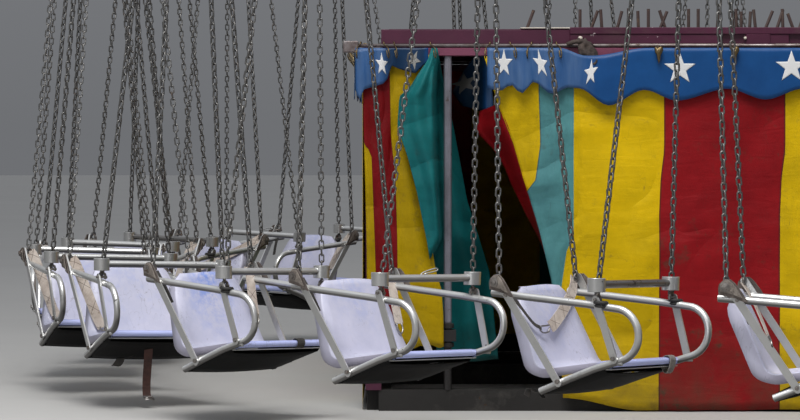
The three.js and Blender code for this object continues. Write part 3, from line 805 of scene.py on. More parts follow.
def star_on(shape, surface, middle_x, middle_z, radius, squeeze=1.0, turn=0.0, shear=0.0):
    """A five-pointed star cut from thin cloth, following the valance; surface gives the place for x and z."""
    corners = []
    for k in range(10):
        reach = radius if k % 2 == 0 else radius * star_waist
        angle = math.pi / 2 + k * math.pi / 5 + turn
        corners.append(Vector((math.cos(angle) * reach, math.sin(angle) * reach)))
    steps = 5  # triangles along each cut, so that the star bends with the cloth
    for a, b in zip(corners, corners[1:] + corners[:1]):
        rows = []
        for j in range(steps + 1):
            row = []
            for i in range(j + 1):
                flat = (a * (j - i) + b * i) / steps
                x = middle_x + (flat.x + shear * flat.y) * squeeze
                row.append(shape.verts.new(surface(x, middle_z + flat.y)))
            rows.append(row)
        for j in range(steps):
            for i in range(j + 1):
                shape.faces.new((rows[j][i], rows[j + 1][i], rows[j + 1][i + 1]))
                if i < j:
                    shape.faces.new((rows[j][i], rows[j + 1][i + 1], rows[j][i + 1]))


def hang_valance(name, start, end, top, bottom, offset, place, stars, columns):
    """One valance with its stars. top, bottom and offset are functions of the place along the wall."""
    def surface(x, z, lift=0.0):
        return place @ Vector((x, -(offset(x, z) + lift), z))

    def point(s, t):
        x = start + (end - start) * s
        return surface(x, top(x) + (bottom(x) - top(x)) * t)

    shape = bmesh.new()
    cloth_grid(shape, columns, 10, point, lambda s, t: (start + (end - start) * s, 0.2 - 0.2 * t))
    sewn = bmesh.new()
    for star in stars:
        star_on(sewn, lambda x, z: surface(x, z, star_lift), *star)
    bmesh.ops.remove_doubles(sewn, verts=sewn.verts, dist=0.0001)
    mesh = mesh_of(name + "_stars", sewn)
    star_piece = add_piece(name + "_stars", mesh, star_white, "base", smooth=True)
    thicken(star_piece, 0.0012)
    cut_and_hang(name, shape, valance_blue)


def straight_valance(name, half, turn, x, y, seed):
    def offset(at, z):
        ripple = rough(at * 3.5, seed, z * 1.5)
        return 0.034 + 0.007 * ripple + 0.004 * math.sin(at * 11 + seed) * (1.40 - z) / 0.2

    def bottom(at):
        return 1.2175 - 0.0215 * math.cos(2 * math.pi * (at - half) / scallop)

    count = int(2 * half / star_step)
    stars = [(-star_step * (count - 1) / 2 + star_step * k, 1.311, 0.062) for k in range(count)]
    hang_valance(name, -half, half, lambda at: valance_top, bottom, offset, wall_place(turn, x, y), stars,
                 round(2 * half / 0.026))


straight_valance("back_valance", 2.272, 180, 0, wall_y, 2.0)
straight_valance("left_valance", 1.700, -90, -wall_x, 0, 5.0)
straight_valance("right_valance", 1.700, 90, wall_x, 0, 8.0)

# front valance: low points and peaks of its lower edge, from the left
front_lower = ((-1.776, 1.238), (-1.730, 1.226), (-1.684, 1.250), (-1.646, 1.217), (-1.598, 1.262), (-1.530, 1.215),
               (-1.465, 1.240), (-1.430, 1.238), (-1.312, 1.172), (-1.176, 1.231), (-1.052, 1.190), (-0.857, 1.235),
               (-0.714, 1.194), (-0.570, 1.236))


def front_bottom(x):
    """The measured edge near the doorway, with eased waves between its points, then even scallops."""
    if x >= front_lower[-1][0]:
        return 1.215 + 0.021 * math.cos(2 * math.pi * (x - front_lower[-1][0]) / scallop)
    for (a, za), (b, zb) in zip(front_lower, front_lower[1:]):
        if x <= b:
            return za + (zb - za) * smooth((x - a) / (b - a))
    return 1.236


def front_top(x):
    return valance_top - 0.030 * smooth((x + 1.50) / 0.10) * smooth((-1.16 - x) / 0.22)


def front_offset(x, z):
    bunched = smooth((-1.33 - x) / 0.30)
    drop = smooth((1.41 - z) / 0.16)
    folds = 0.5 + 0.5 * math.sin(x * 2 * math.pi / 0.118 + 0.9 + 1.2 * math.sin((z - 1.3) * 9))
    ripple = rough(x * 3.2, 4.0, z * 2.0)
    sag = 0.012 * math.exp(-((x + 1.33) / 0.12) ** 2) * drop
    return 0.036 + 0.008 * ripple * drop + 0.026 * bunched * folds * (0.35 + 0.65 * drop) + sag


front_stars = [(-1.041, 1.311, 0.063), (-0.616, 1.318, 0.063), (-1.381, 1.296, 0.052, 0.52, 0.12, 0.25),
               (-1.572, 1.330, 0.056, 0.50, -0.10, -0.45), (-1.712, 1.331, 0.056, 0.62, 0.0, 0.0)]
front_stars += [(-0.616 + star_step * k, 1.313, 0.063) for k in range(1, 7)]
front_place = Matrix.Translation((0, -wall_y, 0))
hang_valance("front_valance", -1.776, 2.272, front_top, front_bottom, front_offset, front_place, front_stars, 210)

left_lower = ((-2.278, 1.232), (-2.262, 1.190), (-2.247, 1.232), (-2.172, 1.255), (-2.152, 1.277), (-2.143, 1.326),
              (-2.112, 1.311), (-2.050, 1.294), (-2.016, 1.328), (-1.990, 1.350))


def left_offset(x, z):
    fold = 0.5 + 0.5 * math.sin((x + 2.28) * 2 * math.pi / 0.105)
    return 0.024 + 0.014 * fold * smooth((1.41 - z) / 0.12)


hang_valance("front_flap_valance", -2.278, -2.000, lambda x: valance_top, lambda x: between(left_lower, x),
             left_offset, front_place, [(-2.177, 1.328, 0.046, 0.55, -0.08, -0.15)], 34)
under_star = bmesh.new()
star_on(under_star, lambda x, z: Vector((x, -wall_y - left_offset(x, z) - star_lift, z)), -2.055, 1.345, 0.040, 0.7,
        -0.5)
second_star = add_piece("flap_second_star", under_star, star_white, "base", smooth=True)
thicken(second_star, 0.0012, -1.0)


# Valance end at the doorway: the unhooked end of the front valance, of the same blue cloth with a sewn star.
# It has fallen back into the opening.

def fallen_point(s, t):
    left = between(((0.0, -1.800), (0.35, -1.860), (0.75, -1.905), (1.0, -1.865)), t)
    right = between(((0.0, -1.760), (0.5, -1.755), (1.0, -1.745)), t)
    x = left + (right - left) * s
    z = 1.386 - 0.245 * t + 0.03 * (1 - s) * t
    return Vector((x, -1.725 + 0.20 * smooth(t * 2.0) * (1 - 0.5 * s) + 0.008 * math.sin(s * 9 + t * 4), z))


fallen = bmesh.new()
cloth_grid(fallen, 10, 18, fallen_point, lambda s, t: (s * 0.15, 0.3 * t))
fallen_star = bmesh.new()
star_on(fallen_star, lambda x, z: fallen_point((x + 1.85) / 0.1, (1.386 - z) / 0.245) + Vector((0, -0.003, 0)),
        -1.828, 1.245, 0.050, 0.75, 0.5)
fallen_star_piece = add_piece("fallen_valance_star", fallen_star, star_white, "base", smooth=True)
cut_and_hang("fallen_valance_end", fallen, valance_blue)


# Hooks and clips: bent wire hooks and brass snap clips that hold valance and curtain to the pipe.
# A Geometry Nodes tree sets one on each point, turned by the point's own value.

def hook_mesh():
    """A bent wire: over the pipe at the origin, out through the cloth's hem and back up in front of it."""
    path = []
    for k in range(7):
        turn = math.pi * k / 6
        path.append(Vector((0, 0.010 * math.cos(turn), 0.004 + 0.010 * math.sin(turn))))
    path += [Vector((0, -0.040, -0.004)), Vector((0.001, -0.062, -0.014)), Vector((0.003, -0.068, -0.036)),
             Vector((0.002, -0.063, -0.050)), Vector((-0.002, -0.058, -0.040)), Vector((-0.004, -0.056, -0.020))]
    shape = bmesh.new()
    tube_mesh(shape, path, 0.0024, 6)
    return finish_mesh("hook_wire", shape)


def clip_mesh():
    """A brass snap clip with two lobes and a pointed tongue."""
    shape = bmesh.new()
    outline = ((-17, 4), (-12, 12), (-5, 5), (0, 8), (6, 13), (15, 8), (17, -3), (12, -14), (8, -20), (5, -40),
               (0, -54), (-5, -38), (-8, -20), (-14, -12))
    rings = []
    for depth, shrink in ((0.0, 1.0), (-0.006, 1.0), (-0.010, 0.72)):
        rings.append([shape.verts.new((x * shrink / 1000, depth, z * shrink / 1000)) for x, z in outline])
    plate(shape, rings)
    tube_mesh(shape, [(0, 0.052, 0.016), (0, 0.030, 0.010), (0, 0.0, -0.004)], 0.004, 8)
    return finish_mesh("clip_brass", shape)


def set_out_tree():
    tree, given, result = repeat_group("Set out parts", [("Part", "Object", None)])
    part = put(tree, "GeometryNodeObjectInfo", {"Object": given["Part"]})
    return repeat_result(tree, given, result, {"Points": given["Geometry"], "Instance": part.outputs["Geometry"],
                                               "Rotation": named(tree, "turn", "FLOAT_VECTOR")})


set_out_parts = set_out_tree()


def parts_at(name, part_mesh, places, material):
    """The given mesh repeated at (place, turn) pairs, as one plain mesh."""
    part = new_object(name + "_part", part_mesh)
    base = bpy.data.meshes.new(name + "_points")
    base.from_pydata([tuple(place) for place, turn in places], [], [])
    turns = [value for place, turn in places for value in turn]
    base.attributes.new("turn", "FLOAT_VECTOR", "POINT").data.foreach_set("vector", turns)
    mesh = grown(name, base, set_out_parts, Part=part, Material=material)
    bpy.data.objects.remove(part)
    return mesh


hook_brass = painted_steel("hook brass", (0.17, 0.12, 0.055), (0.10, 0.075, 0.04), (0.30, 0.24, 0.13), chips=0.58,
                           grime_and_shade=(0.06, 0.045, 0.03), rough=0.4, metal=0.85)
# each hook's place on the pipe, and how far it has turned
hook_step = 0.273
hooks = [(x, -pipe_y, 0.35 * math.sin(x * 40))
         for x in (-2.258, -2.172, -2.132, -1.995, -1.762, -1.690, -1.603, -1.512)]
hooks += [(-0.28 + 0.27 * k, -pipe_y, 0.3 * math.sin(k * 5.0)) for k in range(10)]
hooks += [(-2.05 + hook_step * k, pipe_y, math.pi + 0.3 * math.sin(k * 3.0)) for k in range(16)]
hooks += [(hand * pipe_x, -1.50 + hook_step * k, hand * math.pi / 2) for k in range(12) for hand in (-1, 1)]
mesh = parts_at("curtain_hooks", hook_mesh(), [((x, y, pipe_level), (0.0, 0.0, turn)) for x, y, turn in hooks],
                hook_brass)
add_piece("curtain_hooks", mesh, None, "base")
clip_places = [((x, -1.800, 1.384), (0.0, 0.0, 0.0)) for x in (-1.123, -0.833, -0.55, 0.35, 1.30, 2.15)]
mesh = parts_at("curtain_clips", clip_mesh(), clip_places, hook_brass)
add_piece("curtain_clips", mesh, None, "base")


# Tied cloth and knobs at the front: a brown cotton rag knotted on the pipe, below two painted screw knobs that
# stand out of the beam.

def rag_material():
    material, tree, shader, place = blank_material("brown rag")
    uneven = patches(tree, place.outputs["Object"], 60.0, 0.42, 0.2)
    colour = mixed(tree, uneven, (0.022, 0.017, 0.016, 1), (0.085, 0.062, 0.052, 1))
    fibres = noisy(tree, place.outputs["Object"], 500.0, 4.0)
    bump = bumped(tree, fibres, 0.4, 0.001)
    fill(tree, shader, {"Base Color": colour, "Normal": bump, "Roughness": 0.9})
    return material


def rag_point(s, t):
    spread = 0.016 + 0.020 * smooth(t * 1.6) - 0.016 * smooth((t - 0.55) / 0.45)
    x = -1.405 + 0.045 * (t - 0.25) + (s - 0.5) * 2 * spread
    z = 1.424 - 0.092 * t + 0.006 * math.sin(s * 8)
    crumple = 0.010 * rough(x * 60, 2.0, z * 50)
    return Vector((x, -1.766 - 0.006 * math.sin(s * math.pi) + crumple - 0.020 * t, z))


rag = bmesh.new()
cloth_grid(rag, 12, 20, rag_point, lambda s, t: (s, t))
rag_brown = rag_material()
cut_and_hang("tied_rag", rag, rag_brown)
knot = bmesh.new()
tube_mesh(knot, [(-1.470, -1.757, 1.405), (-1.445, -1.764, 1.414), (-1.415, -1.768, 1.418), (-1.385, -1.764, 1.408),
                 (-1.372, -1.758, 1.396)], 0.0085, 10)
add_piece("rag_knot", knot, rag_brown, "base", smooth=True)
knob = bmesh.new()
bmesh.ops.create_uvsphere(knob, u_segments=16, v_segments=10, radius=0.009)
bmesh.ops.translate(knob, vec=(-1.419, -1.752, 1.4280), verts=knob.verts)
tube_mesh(knob, [(-1.419, -1.743, 1.4280), (-1.419, -1.750, 1.4280)], 0.004, 8)
tube_mesh(knob, [(-0.788, -1.750, 1.4290), (-0.788, -1.742, 1.4290)], 0.006, 8)
add_piece("beam_knobs", knob, cream_paint, "base", smooth=True)


# Turning crown: ring beam, radial sweeps, tie rods and hub, all welded box and round steel in plum paint.
# Bolted flange plates join each sweep to the ring; the bolt heads are set out on a plain mesh of points.

crown_paint = painted_steel("crown paint", (0.10, 0.012, 0.042), (0.14, 0.024, 0.064), (0.30, 0.20, 0.19),
                            chips=0.640, chip_scale=30.0, grime_and_shade=(0.10, 0.055, 0.06), dirt=0.54, rough=0.42,
                            bare_metal=0.2)
for name in ["ring_beam", "hub"] + [f"sweep_{k}" for k in range(1, 8)]:
    finish_node(name, crown_paint)

chair_count = 28
chair_step = 2 * math.pi / chair_count
first_angle = math.radians(-102.4)
ring_radius = 3.430
ring_top = 3.042


def bolt_head():
    shape = bmesh.new()
    tube_mesh(shape, [(0, 0, 0), (0, 0, 0.0025)], 0.016, 12)
    tube_mesh(shape, [(0, 0, 0.0015), (0, 0, 0.0115)], 0.0105, 6)
    return finish_mesh("bolt_head", shape)


plates, bolts = bmesh.new(), []
for k in range(7):
    angle = first_angle + chair_step / 2 + k * 4 * chair_step
    out, side = Vector((math.cos(angle), math.sin(angle), 0)), Vector((-math.sin(angle), math.cos(angle), 0))
    turn = Matrix((out, side, Vector((0, 0, 1)))).transposed().to_4x4()
    made = bmesh.ops.create_cube(plates, size=1.0)["verts"]
    bmesh.ops.scale(plates, vec=(0.28, 0.17, 0.012), verts=made)
    bmesh.ops.transform(plates, matrix=Matrix.Translation(out * 3.330 + Vector((0, 0, ring_top + 0.006))) @ turn,
                        verts=made)
    for along in (3.22, 3.29, 3.38, 3.44):
        for aside in (-0.060, 0.060):
            bolts.append((out * along + side * aside + Vector((0, 0, ring_top + 0.012)), (0, 0, angle)))
for k in range(chair_count):
    angle = first_angle + k * chair_step
    bolts.append((Vector((0.215 * math.cos(angle), 0.215 * math.sin(angle), 3.057)), (0, 0, angle)))
bmesh.ops.bevel(plates, geom=list(plates.edges), offset=0.002, segments=1, affect="EDGES")
add_piece("ring_flange_plates", plates, crown_paint, "crown")
worn_bolt = painted_steel("bolt steel", (0.24, 0.225, 0.21), (0.15, 0.13, 0.12), (0.09, 0.05, 0.03), chips=0.55,
                          chip_scale=120.0, rough=0.42, metal=0.8, bare_metal=0.3)
add_piece("crown_bolts", parts_at("crown_bolts", bolt_head(), bolts, worn_bolt), None, "crown")


# Chair frames: each side is one bent steel tube, from the arm round the loop and back under the seat, with two flat
# bars bolted to its outer face. The paint is silver and chipped to dark steel, lighter on top and darkened underneath
# with painted shade.

# under=0.92: painted shade and painted reflection of a dark ground on the frames' undersides
silver_paint = painted_steel("worn silver paint", (0.82, 0.82, 0.81), (0.68, 0.68, 0.67), (0.050, 0.042, 0.038),
                             chips=0.635, chip_scale=75.0, grime_and_shade=(0.055, 0.051, 0.048), dirt=0.60, rough=0.31,
                             metal=0.75, bare_metal=0.3, under=0.92)
chair_half = 0.250
pattern_length = 7
resting_twist = (0, -9, -3, 7, -2, 7, 0)
resting_drift = (-0.010, 0.035, -0.005, -0.020, -0.010, 0.010, 0.0)
pin_height = 0.556
rear_pin, bar_face = -0.241, 0.0165
tube_radius, loop_x, loop_top, loop_radius, loop_sweep = 0.0128, 0.214, -0.076, 0.087, 2.86


def chair_place(index):
    """The stand on the ring, then the chair's own turn, drift and lean, as it has come to rest."""
    angle = first_angle - index * chair_step
    stand = Matrix.Translation((ring_radius * math.cos(angle), ring_radius * math.sin(angle), 0))
    stand = stand @ Matrix.Rotation(angle + math.pi / 2, 4, "Z")
    chair = Matrix.Translation((resting_drift[index % pattern_length], 0, pin_height))
    chair = chair @ Matrix.Rotation(math.radians(resting_twist[index % pattern_length]), 4, "Z")
    return stand, stand @ chair @ Matrix.Rotation(-math.atan2(0.014, 0.5), 4, "X")


def side_route(y):
    """Forwards along the arm, round the loop at its end and back under the seat."""
    points = [(-0.268, -0.037), (-0.10, -0.0495), (0.10, -0.0645), (0.190, -0.0735)]
    for k in range(15):
        turn = loop_sweep * k / 14
        points.append((loop_x + loop_radius * math.sin(turn), loop_top - loop_radius * (1 - math.cos(turn))))
    points += [(0.13, -0.280), (0.02, -0.3220), (-0.086, -0.3650)]
    return [(x, y, z) for x, z in points]


def flat_bar(shape, start, end, y, width=0.026, thickness=0.0065):
    """A flat bar with rounded ends, lying against the outer face of the tubes."""
    start, end = Vector((start[0], y, start[1])), Vector((end[0], y, end[1]))
    along = (end - start).normalized()
    across = along.cross(Vector((0, 1, 0)))
    outline = []
    for centre, sign in ((start, -1), (end, 1)):
        for k in range(7):
            turn = math.pi * k / 6
            outline.append(centre + across * sign * math.cos(turn) * width / 2
                           + along * sign * math.sin(turn) * width / 2)
    rings = [[shape.verts.new(p + Vector((0, hand * thickness / 2, 0))) for p in outline] for hand in (-1, 1)]
    for cap in (rings[0], rings[1][::-1]):
        shape.faces.new(cap)
    skin(shape, rings)


def frame_mesh():
    shape = bmesh.new()
    for side in (-1, 1):
        y = side * chair_half
        tube_mesh(shape, side_route(y), tube_radius, 12)
        outer = y + side * bar_face
        flat_bar(shape, (-0.240, 0.014), (-0.006, -0.3335), outer)
        flat_bar(shape, (0.149, -0.048), (0.214, -0.246), outer)
        tube_mesh(shape, [(0.208, y, -0.2600), (0.240, y + side * 0.010, -0.2600)], 0.006, 8)
    return finish_mesh("chair_frame", shape)


def set_down(template, index, material, piece_name, smooth=False):
    """A copy of a chair part at one chair's place; the two sides of a chair come closer together lower down."""
    mesh = template.copy()
    for vert in mesh.vertices:
        vert.co.y *= 1 + 0.30 * min(vert.co.z, 0.0)
    mesh.transform(chair_place(index)[1])
    return add_piece(f"chair_{index + 1:02d}_{piece_name}", mesh, material, f"chair_{index + 1:02d}_body",
                     smooth)


frame_template = frame_mesh()
frame_template.shade_smooth()
frame_template.set_sharp_from_angle(angle=math.radians(40))
for index in range(chair_count):
    piece = set_down(frame_template, index, silver_paint, "frame")
    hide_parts(f"chair_{index + 1:02d}")


# Chair seats: one sheet, bent round under the sitter, with its top corners cut off, its side edges turned back and
# its front edge rolled over a bar. The top is painted lilac and rubbed blue and grey, and its turned-back edges are
# greyed, partly as dirt and partly as painted shade; underneath it is black.

seat_halves = ((-0.285, 0.235), (-0.16, 0.198), (-0.10, 0.184), (-0.05, 0.163), (-0.03, 0.150), (-0.013, 0.125))
bend_x, bend_z, bend_radius = -0.0783, -0.2403, 0.045
roll_x, roll_z, roll_radius = 0.182, -0.262, 0.0125


def seat_line():
    """Points down the back, round the bend, along the pan and over the front roll, as x and z."""
    points = [(-0.2302 + 0.1108 * k / 12, -0.0130 - 0.2458 * k / 12) for k in range(12)]
    for k in range(8):
        turn = math.radians(204.2 + 73.7 * k / 7)
        points.append((bend_x + bend_radius * math.cos(turn), bend_z + bend_radius * math.sin(turn)))
    points += [(-0.0721 + 0.2481 * k / 8, -0.2848 + 0.0348 * k / 8) for k in range(1, 9)]
    for k in range(1, 8):
        turn = math.radians(80 - 34 * k)
        points.append((roll_x + roll_radius * math.cos(turn), roll_z + roll_radius * math.sin(turn)))
    return points


def seat_mesh():
    """Each row of points runs across the seat and has the turned-back flange at both its ends."""
    shape = bmesh.new()
    line = seat_line()
    run = [0.0]
    for a, b in zip(line, line[1:]):
        run.append(run[-1] + math.dist(a, b))
    rows = []
    for i, (x, z) in enumerate(line):
        before, after = line[max(i - 1, 0)], line[min(i + 1, len(line) - 1)]
        along = Vector((after[0] - before[0], 0, after[1] - before[1])).normalized()
        back = Vector((along.z, 0, -along.x))
        half = between(seat_halves, z) if i < 16 else 0.235
        flange = 0.034 * smooth((28.6 - i) / 2.5) * (1 - 0.045 * max(0, i - 20)) * smooth((i + 0.6) / 3)
        flange += 0.014 * smooth(i / 4) * smooth((17 - i) / 5)
        edge = [(-1.0, flange), (-1.0, flange * 0.55), (-1.0, flange * 0.16), (-0.975, 0.0)]
        row = []
        for place, depth in edge + [(k / 4, 0.0) for k in range(-3, 4)] + [(-p, d) for p, d in reversed(edge)]:
            dish = 0.004 * (1 - place * place) * math.sin(math.pi * min(run[i] / 0.6, 1.0))
            point = Vector((x, place * half, z)) + back * (depth + dish)
            point.z += 0.003 * math.sin(place * 2.6 + 0.9) * (1 - smooth(i / 3))
            row.append((shape.verts.new(point), (place, run[i] + depth)))
        rows.append(row)
    lip = [(shape.verts.new(vert.co + Vector((-0.010, 0, -0.001))), (place, down - 0.010))
           for vert, (place, down) in rows[0]]
    uv_rows(shape, [lip] + rows)
    return mesh_of("chair_seat", shape)


def seat_material(name, rubbed_blue):
    material, tree, shader, place = blank_material(name)
    at, uv = place.outputs["Object"], place.outputs["UV"]
    cloudy = patches(tree, at, 9.0, 0.36, 0.3)
    colour = mixed(tree, cloudy, (0.47, 0.48, 0.62, 1), (0.60, 0.595, 0.73, 1))
    middle = put(tree, "ShaderNodeMapping", {"Vector": uv, "Location": (0.0, -0.17, 0.0), "Scale": (1.5, 5.0, 1.0)})
    reach = put(tree, "ShaderNodeVectorMath", {0: middle}, operation="LENGTH")
    near = ranged(tree, reach.outputs["Value"], 1.3, 0.2)
    rubbed = patches(tree, at, 30.0, 0.46, 0.12)
    rub = sums(tree, "MULTIPLY", near, rubbed)
    some = sums(tree, "MULTIPLY", rub, rubbed_blue)
    colour = mixed(tree, some, colour, (0.16, 0.26, 0.66, 1))
    # the turned-back side edges along the pan are greyed: partly dirt, partly painted shade
    apart = put(tree, "ShaderNodeSeparateXYZ", {0: uv})
    aside = sums(tree, "ABSOLUTE", apart)
    flank = ranged(tree, aside, 0.985, 0.998)
    low = ranged(tree, apart.outputs[1], 0.27, 0.33, 0.45, 1.0)
    turned = sums(tree, "MULTIPLY", flank, low)
    colour = mixed(tree, turned, colour, (0.30, 0.285, 0.36, 1))
    front = ranged(tree, apart.outputs[1], 0.530, 0.565)
    colour = mixed(tree, front, colour, (0.46, 0.51, 0.84, 1))
    worn = patches(tree, at, 48.0, 0.64, 0.07)
    colour = mixed(tree, worn, colour, (0.27, 0.24, 0.28, 1))
    lines = grouped(tree, scratch_group, at, Stretch=(40.0, 40.0, 6.0), Turn=(0.3, 0.4, 0.0), Width=0.012)
    line = sums(tree, "MULTIPLY", lines, 0.6)
    colour = mixed(tree, line, colour, (0.20, 0.19, 0.24, 1))
    roughness = ranged(tree, cloudy, low=0.34, high=0.50)
    soft = noisy(tree, at, 22.0, 3.0)
    relief = sums(tree, "MULTIPLY_ADD", worn, -0.15, soft)
    bump = bumped(tree, relief, 0.5, 0.003)
    fill(tree, shader, {"Base Color": colour, "Roughness": roughness, "Normal": bump})
    return material


lilac_paint = seat_material("lilac seat paint", 0.28)
rubbed_paint = seat_material("rubbed seat paint", 0.85)
# black for the seat underside and tray; inside the lap bar sleeves the same black is painted shade
black_and_bore_shade = painted_steel("seat underside black", (0.006, 0.006, 0.006), (0.010, 0.009, 0.009),
                            (0.05, 0.04, 0.035), chips=0.63, grime_and_shade=(0.014, 0.013, 0.012), dirt=0.55, rough=0.75)
black_and_bore_shade.node_tree.nodes["Principled BSDF"].inputs["Specular IOR Level"].default_value = 0.12
seat_template = seat_mesh()
for index in range(chair_count):
    top_paint = rubbed_paint if index % pattern_length == 3 else lilac_paint
    seat = set_down(seat_template, index, top_paint, "seat", smooth=True)
    seat.data.materials.append(black_and_bore_shade)
    thicken(seat, 0.0045, -1.0).material_offset = 1


# Under the seats: a black tray plate between the lower tubes with a thick bar across its rear edge, a bright steel
# strip at its front edge, and the lilac bar inside the front roll.

def under_mesh():
    shape = bmesh.new()
    half = chair_half
    tube_mesh(shape, [(-0.070, -half, -0.3590), (-0.070, half, -0.3590)], 0.0150, 12)
    for x, z in ((0.045, -0.3150), (0.120, -0.2930)):
        tube_mesh(shape, [(x, -half, z), (x, half, z)], 0.0060, 8)
    line = [(-0.072, -0.3690), (-0.02, -0.3550), (0.05, -0.3300), (0.12, -0.3060), (0.168, -0.2900)]
    places = (-1.0, -0.95, -0.7, -0.35, 0.0, 0.35, 0.7, 0.95, 1.0)
    rises = [(0.014 if abs(place) == 1.0 else 0.0) - 0.006 * (1 - place * place) for place in places]
    rows = [[shape.verts.new((x, place * (half - 0.004), z + rise)) for place, rise in zip(places, rises)]
            for x, z in line]
    lower = [[shape.verts.new(vert.co - Vector((0, 0, 0.004))) for vert in row] for row in rows]
    for a, b, c, d in zip(rows, rows[1:], lower, lower[1:]):
        for k in range(8):
            shape.faces.new((a[k], a[k + 1], b[k + 1], b[k]))
            shape.faces.new((c[k], d[k], d[k + 1], c[k + 1]))
        shape.faces.new((a[0], b[0], d[0], c[0]))
        shape.faces.new((a[8], c[8], d[8], b[8]))
    for upper_row, lower_row in ((rows[0], lower[0]), (rows[-1], lower[-1])):
        for k in range(8):
            shape.faces.new((upper_row[k], lower_row[k], lower_row[k + 1], upper_row[k + 1]))
    return finish_mesh("chair_under", shape)


def roll_mesh():
    shape = bmesh.new()
    tube_mesh(shape, [(roll_x, -chair_half, roll_z), (roll_x, chair_half, roll_z)], 0.0112, 14)
    return finish_mesh("chair_front_bar", shape)


strip_half = chair_half - 0.006
strip_shape = boxes([((0.160, -strip_half, -0.2830), (0.190, strip_half, -0.2795))], 0.0008)
strip_template = finish_mesh("chair_front_strip", strip_shape)
under_template, roll_template = under_mesh(), roll_mesh()
front_blue = painted_steel("front bar lilac", (0.36, 0.40, 0.74), (0.48, 0.48, 0.80), (0.10, 0.09, 0.11), chips=0.62,
                           chip_scale=60.0, grime_and_shade=(0.22, 0.22, 0.30), rough=0.38, bare_metal=0.3)
for index in range(chair_count):
    set_down(under_template, index, black_and_bore_shade, "under_rods", smooth=True)
    set_down(roll_template, index, front_blue, "front_bar", smooth=True)
    set_down(strip_template, index, silver_paint, "front_strip")


# Lap bars: a steel tube welded between two short sleeves that slide on the front chains. They have the same worn
# silver paint, rubbed to bare steel on some chairs, with painted shade on their undersides; the sleeves are painted
# black inside as shade.

def sleeve(shape, x, y, outer=0.0305, inner=0.0262, height=0.047, sides=24):
    """A short tube whose bore, its second material, is painted black as shade; the outside is its third."""
    turns = [2 * math.pi * k / sides for k in range(sides)]
    rings = []
    for radius, level in ((outer - 0.001, -height / 2), (outer, -height / 2 + 0.001), (outer, height / 2 - 0.001),
                          (outer - 0.001, height / 2), (inner, height / 2), (inner, -height / 2)):
        rings.append([shape.verts.new((x + radius * math.cos(turn), y + radius * math.sin(turn), level))
                      for turn in turns])
    # the bore's faces take the black material: painted shade inside the sleeve
    for k, face in enumerate(skin(shape, rings, closed=True)):
        face.material_index = 1 if k // sides == 4 else 2


def lap_bar_mesh():
    shape = bmesh.new()
    bar_x, bar_half = 0.143, chair_half - 0.0275
    tube_mesh(shape, [(bar_x, y, 0.002) for y in (-bar_half, 0.0, bar_half)], 0.0134, 16, ends=False)
    for side in (-1, 1):
        sleeve(shape, bar_x, side * chair_half)
    return finish_mesh("chair_lap_bar", shape)


# under=0.7: painted shade and painted reflection of a dark ground on the bar's undersides
bare_bar = painted_steel("rubbed bar steel", (0.36, 0.35, 0.34), (0.22, 0.21, 0.20), (0.06, 0.048, 0.04), chips=0.57,
                         chip_scale=50.0, rough=0.3, metal=0.9, bare_metal=0.4, under=0.7)
lap_template = lap_bar_mesh()
lap_template.shade_smooth()
lap_template.set_sharp_from_angle(angle=math.radians(40))
for index in range(chair_count):
    lap_bar = set_down(lap_template, index, bare_bar if index % pattern_length == 1 else silver_paint,
                       "lap_bar")
    # second material: black, as painted shade in the sleeves' bores
    lap_bar.data.materials.append(black_and_bore_shade)
    lap_bar.data.materials.append(silver_paint)


# Chair fittings: a black rubber saddle where a front bar crosses its arm on some chairs, shackles under the sleeves
# and at the rear pins, and a bolt with a washer at each pin and bar foot.

def ring_on(shape, centre, normal, major, minor, sides=14, section=6, squash=1.0):
    """A torus; squash flattens it along its axis."""
    normal = Vector(normal).normalized()
    u = normal.orthogonal().normalized()
    v = normal.cross(u)
    rings = []
    for k in range(sides):
        turn = 2 * math.pi * k / sides
        out = u * math.cos(turn) + v * math.sin(turn)
        ring = []
        for j in range(section):
            tilt = 2 * math.pi * j / section
            ring.append(shape.verts.new(Vector(centre) + out * (major + minor * math.cos(tilt))
                                        + normal * minor * squash * math.sin(tilt)))
        rings.append(ring)
    skin(shape, rings, closed=True)


def saddle_mesh(sides):
    shape = bmesh.new()
    for side in sides:
        y = side * (chair_half + 0.006)
        ring_on(shape, (0.163, y, -0.0575), (0.06, 0, 1), 0.0185, 0.0085, squash=0.75)
        ring_on(shape, (0.163, y, -0.069), (0.06, 0, 1), 0.0165, 0.0075, squash=0.8)
    return finish_mesh("chair_saddles", shape)


def fitting_mesh():
    shape = bmesh.new()
    for side in (-1, 1):
        y = side * chair_half
        outer = y + side * bar_face
        tube_mesh(shape, [(0.149, y - 0.011, -0.056), (0.148, y - 0.011, -0.038), (0.147, y, -0.029),
                          (0.148, y + 0.011, -0.038), (0.149, y + 0.011, -0.056)], 0.0055, 8)
        tube_mesh(shape, [(rear_pin, y - 0.012, -0.004), (rear_pin, y - 0.012, 0.014), (rear_pin, y, 0.026),
                          (rear_pin, y + 0.012, 0.014), (rear_pin, y + 0.012, -0.004)], 0.0045, 8)
        tube_mesh(shape, [(rear_pin, y - side * 0.017, 0.0), (rear_pin, outer + side * 0.012, 0.0)], 0.0055, 8)
        tube_mesh(shape, [(0.149, y - side * 0.018, -0.048), (0.149, outer + side * 0.010, -0.048)], 0.005, 8)
        tube_mesh(shape, [(rear_pin, outer + side * 0.0145, 0.0), (rear_pin, outer + side * 0.0175, 0.0)], 0.0160, 14)
        for x, z, radius in ((rear_pin, 0.0, 0.0105), (-0.008, -0.3290, 0.008), (0.211, -0.243, 0.008),
                             (-0.203, -0.042, 0.007)):
            lift = 0.0175 if x == rear_pin else 0.0032
            tube_mesh(shape, [(x, outer + side * lift, z), (x, outer + side * (lift + 0.0065), z)], radius, 6)
    return finish_mesh("chair_fittings", shape)


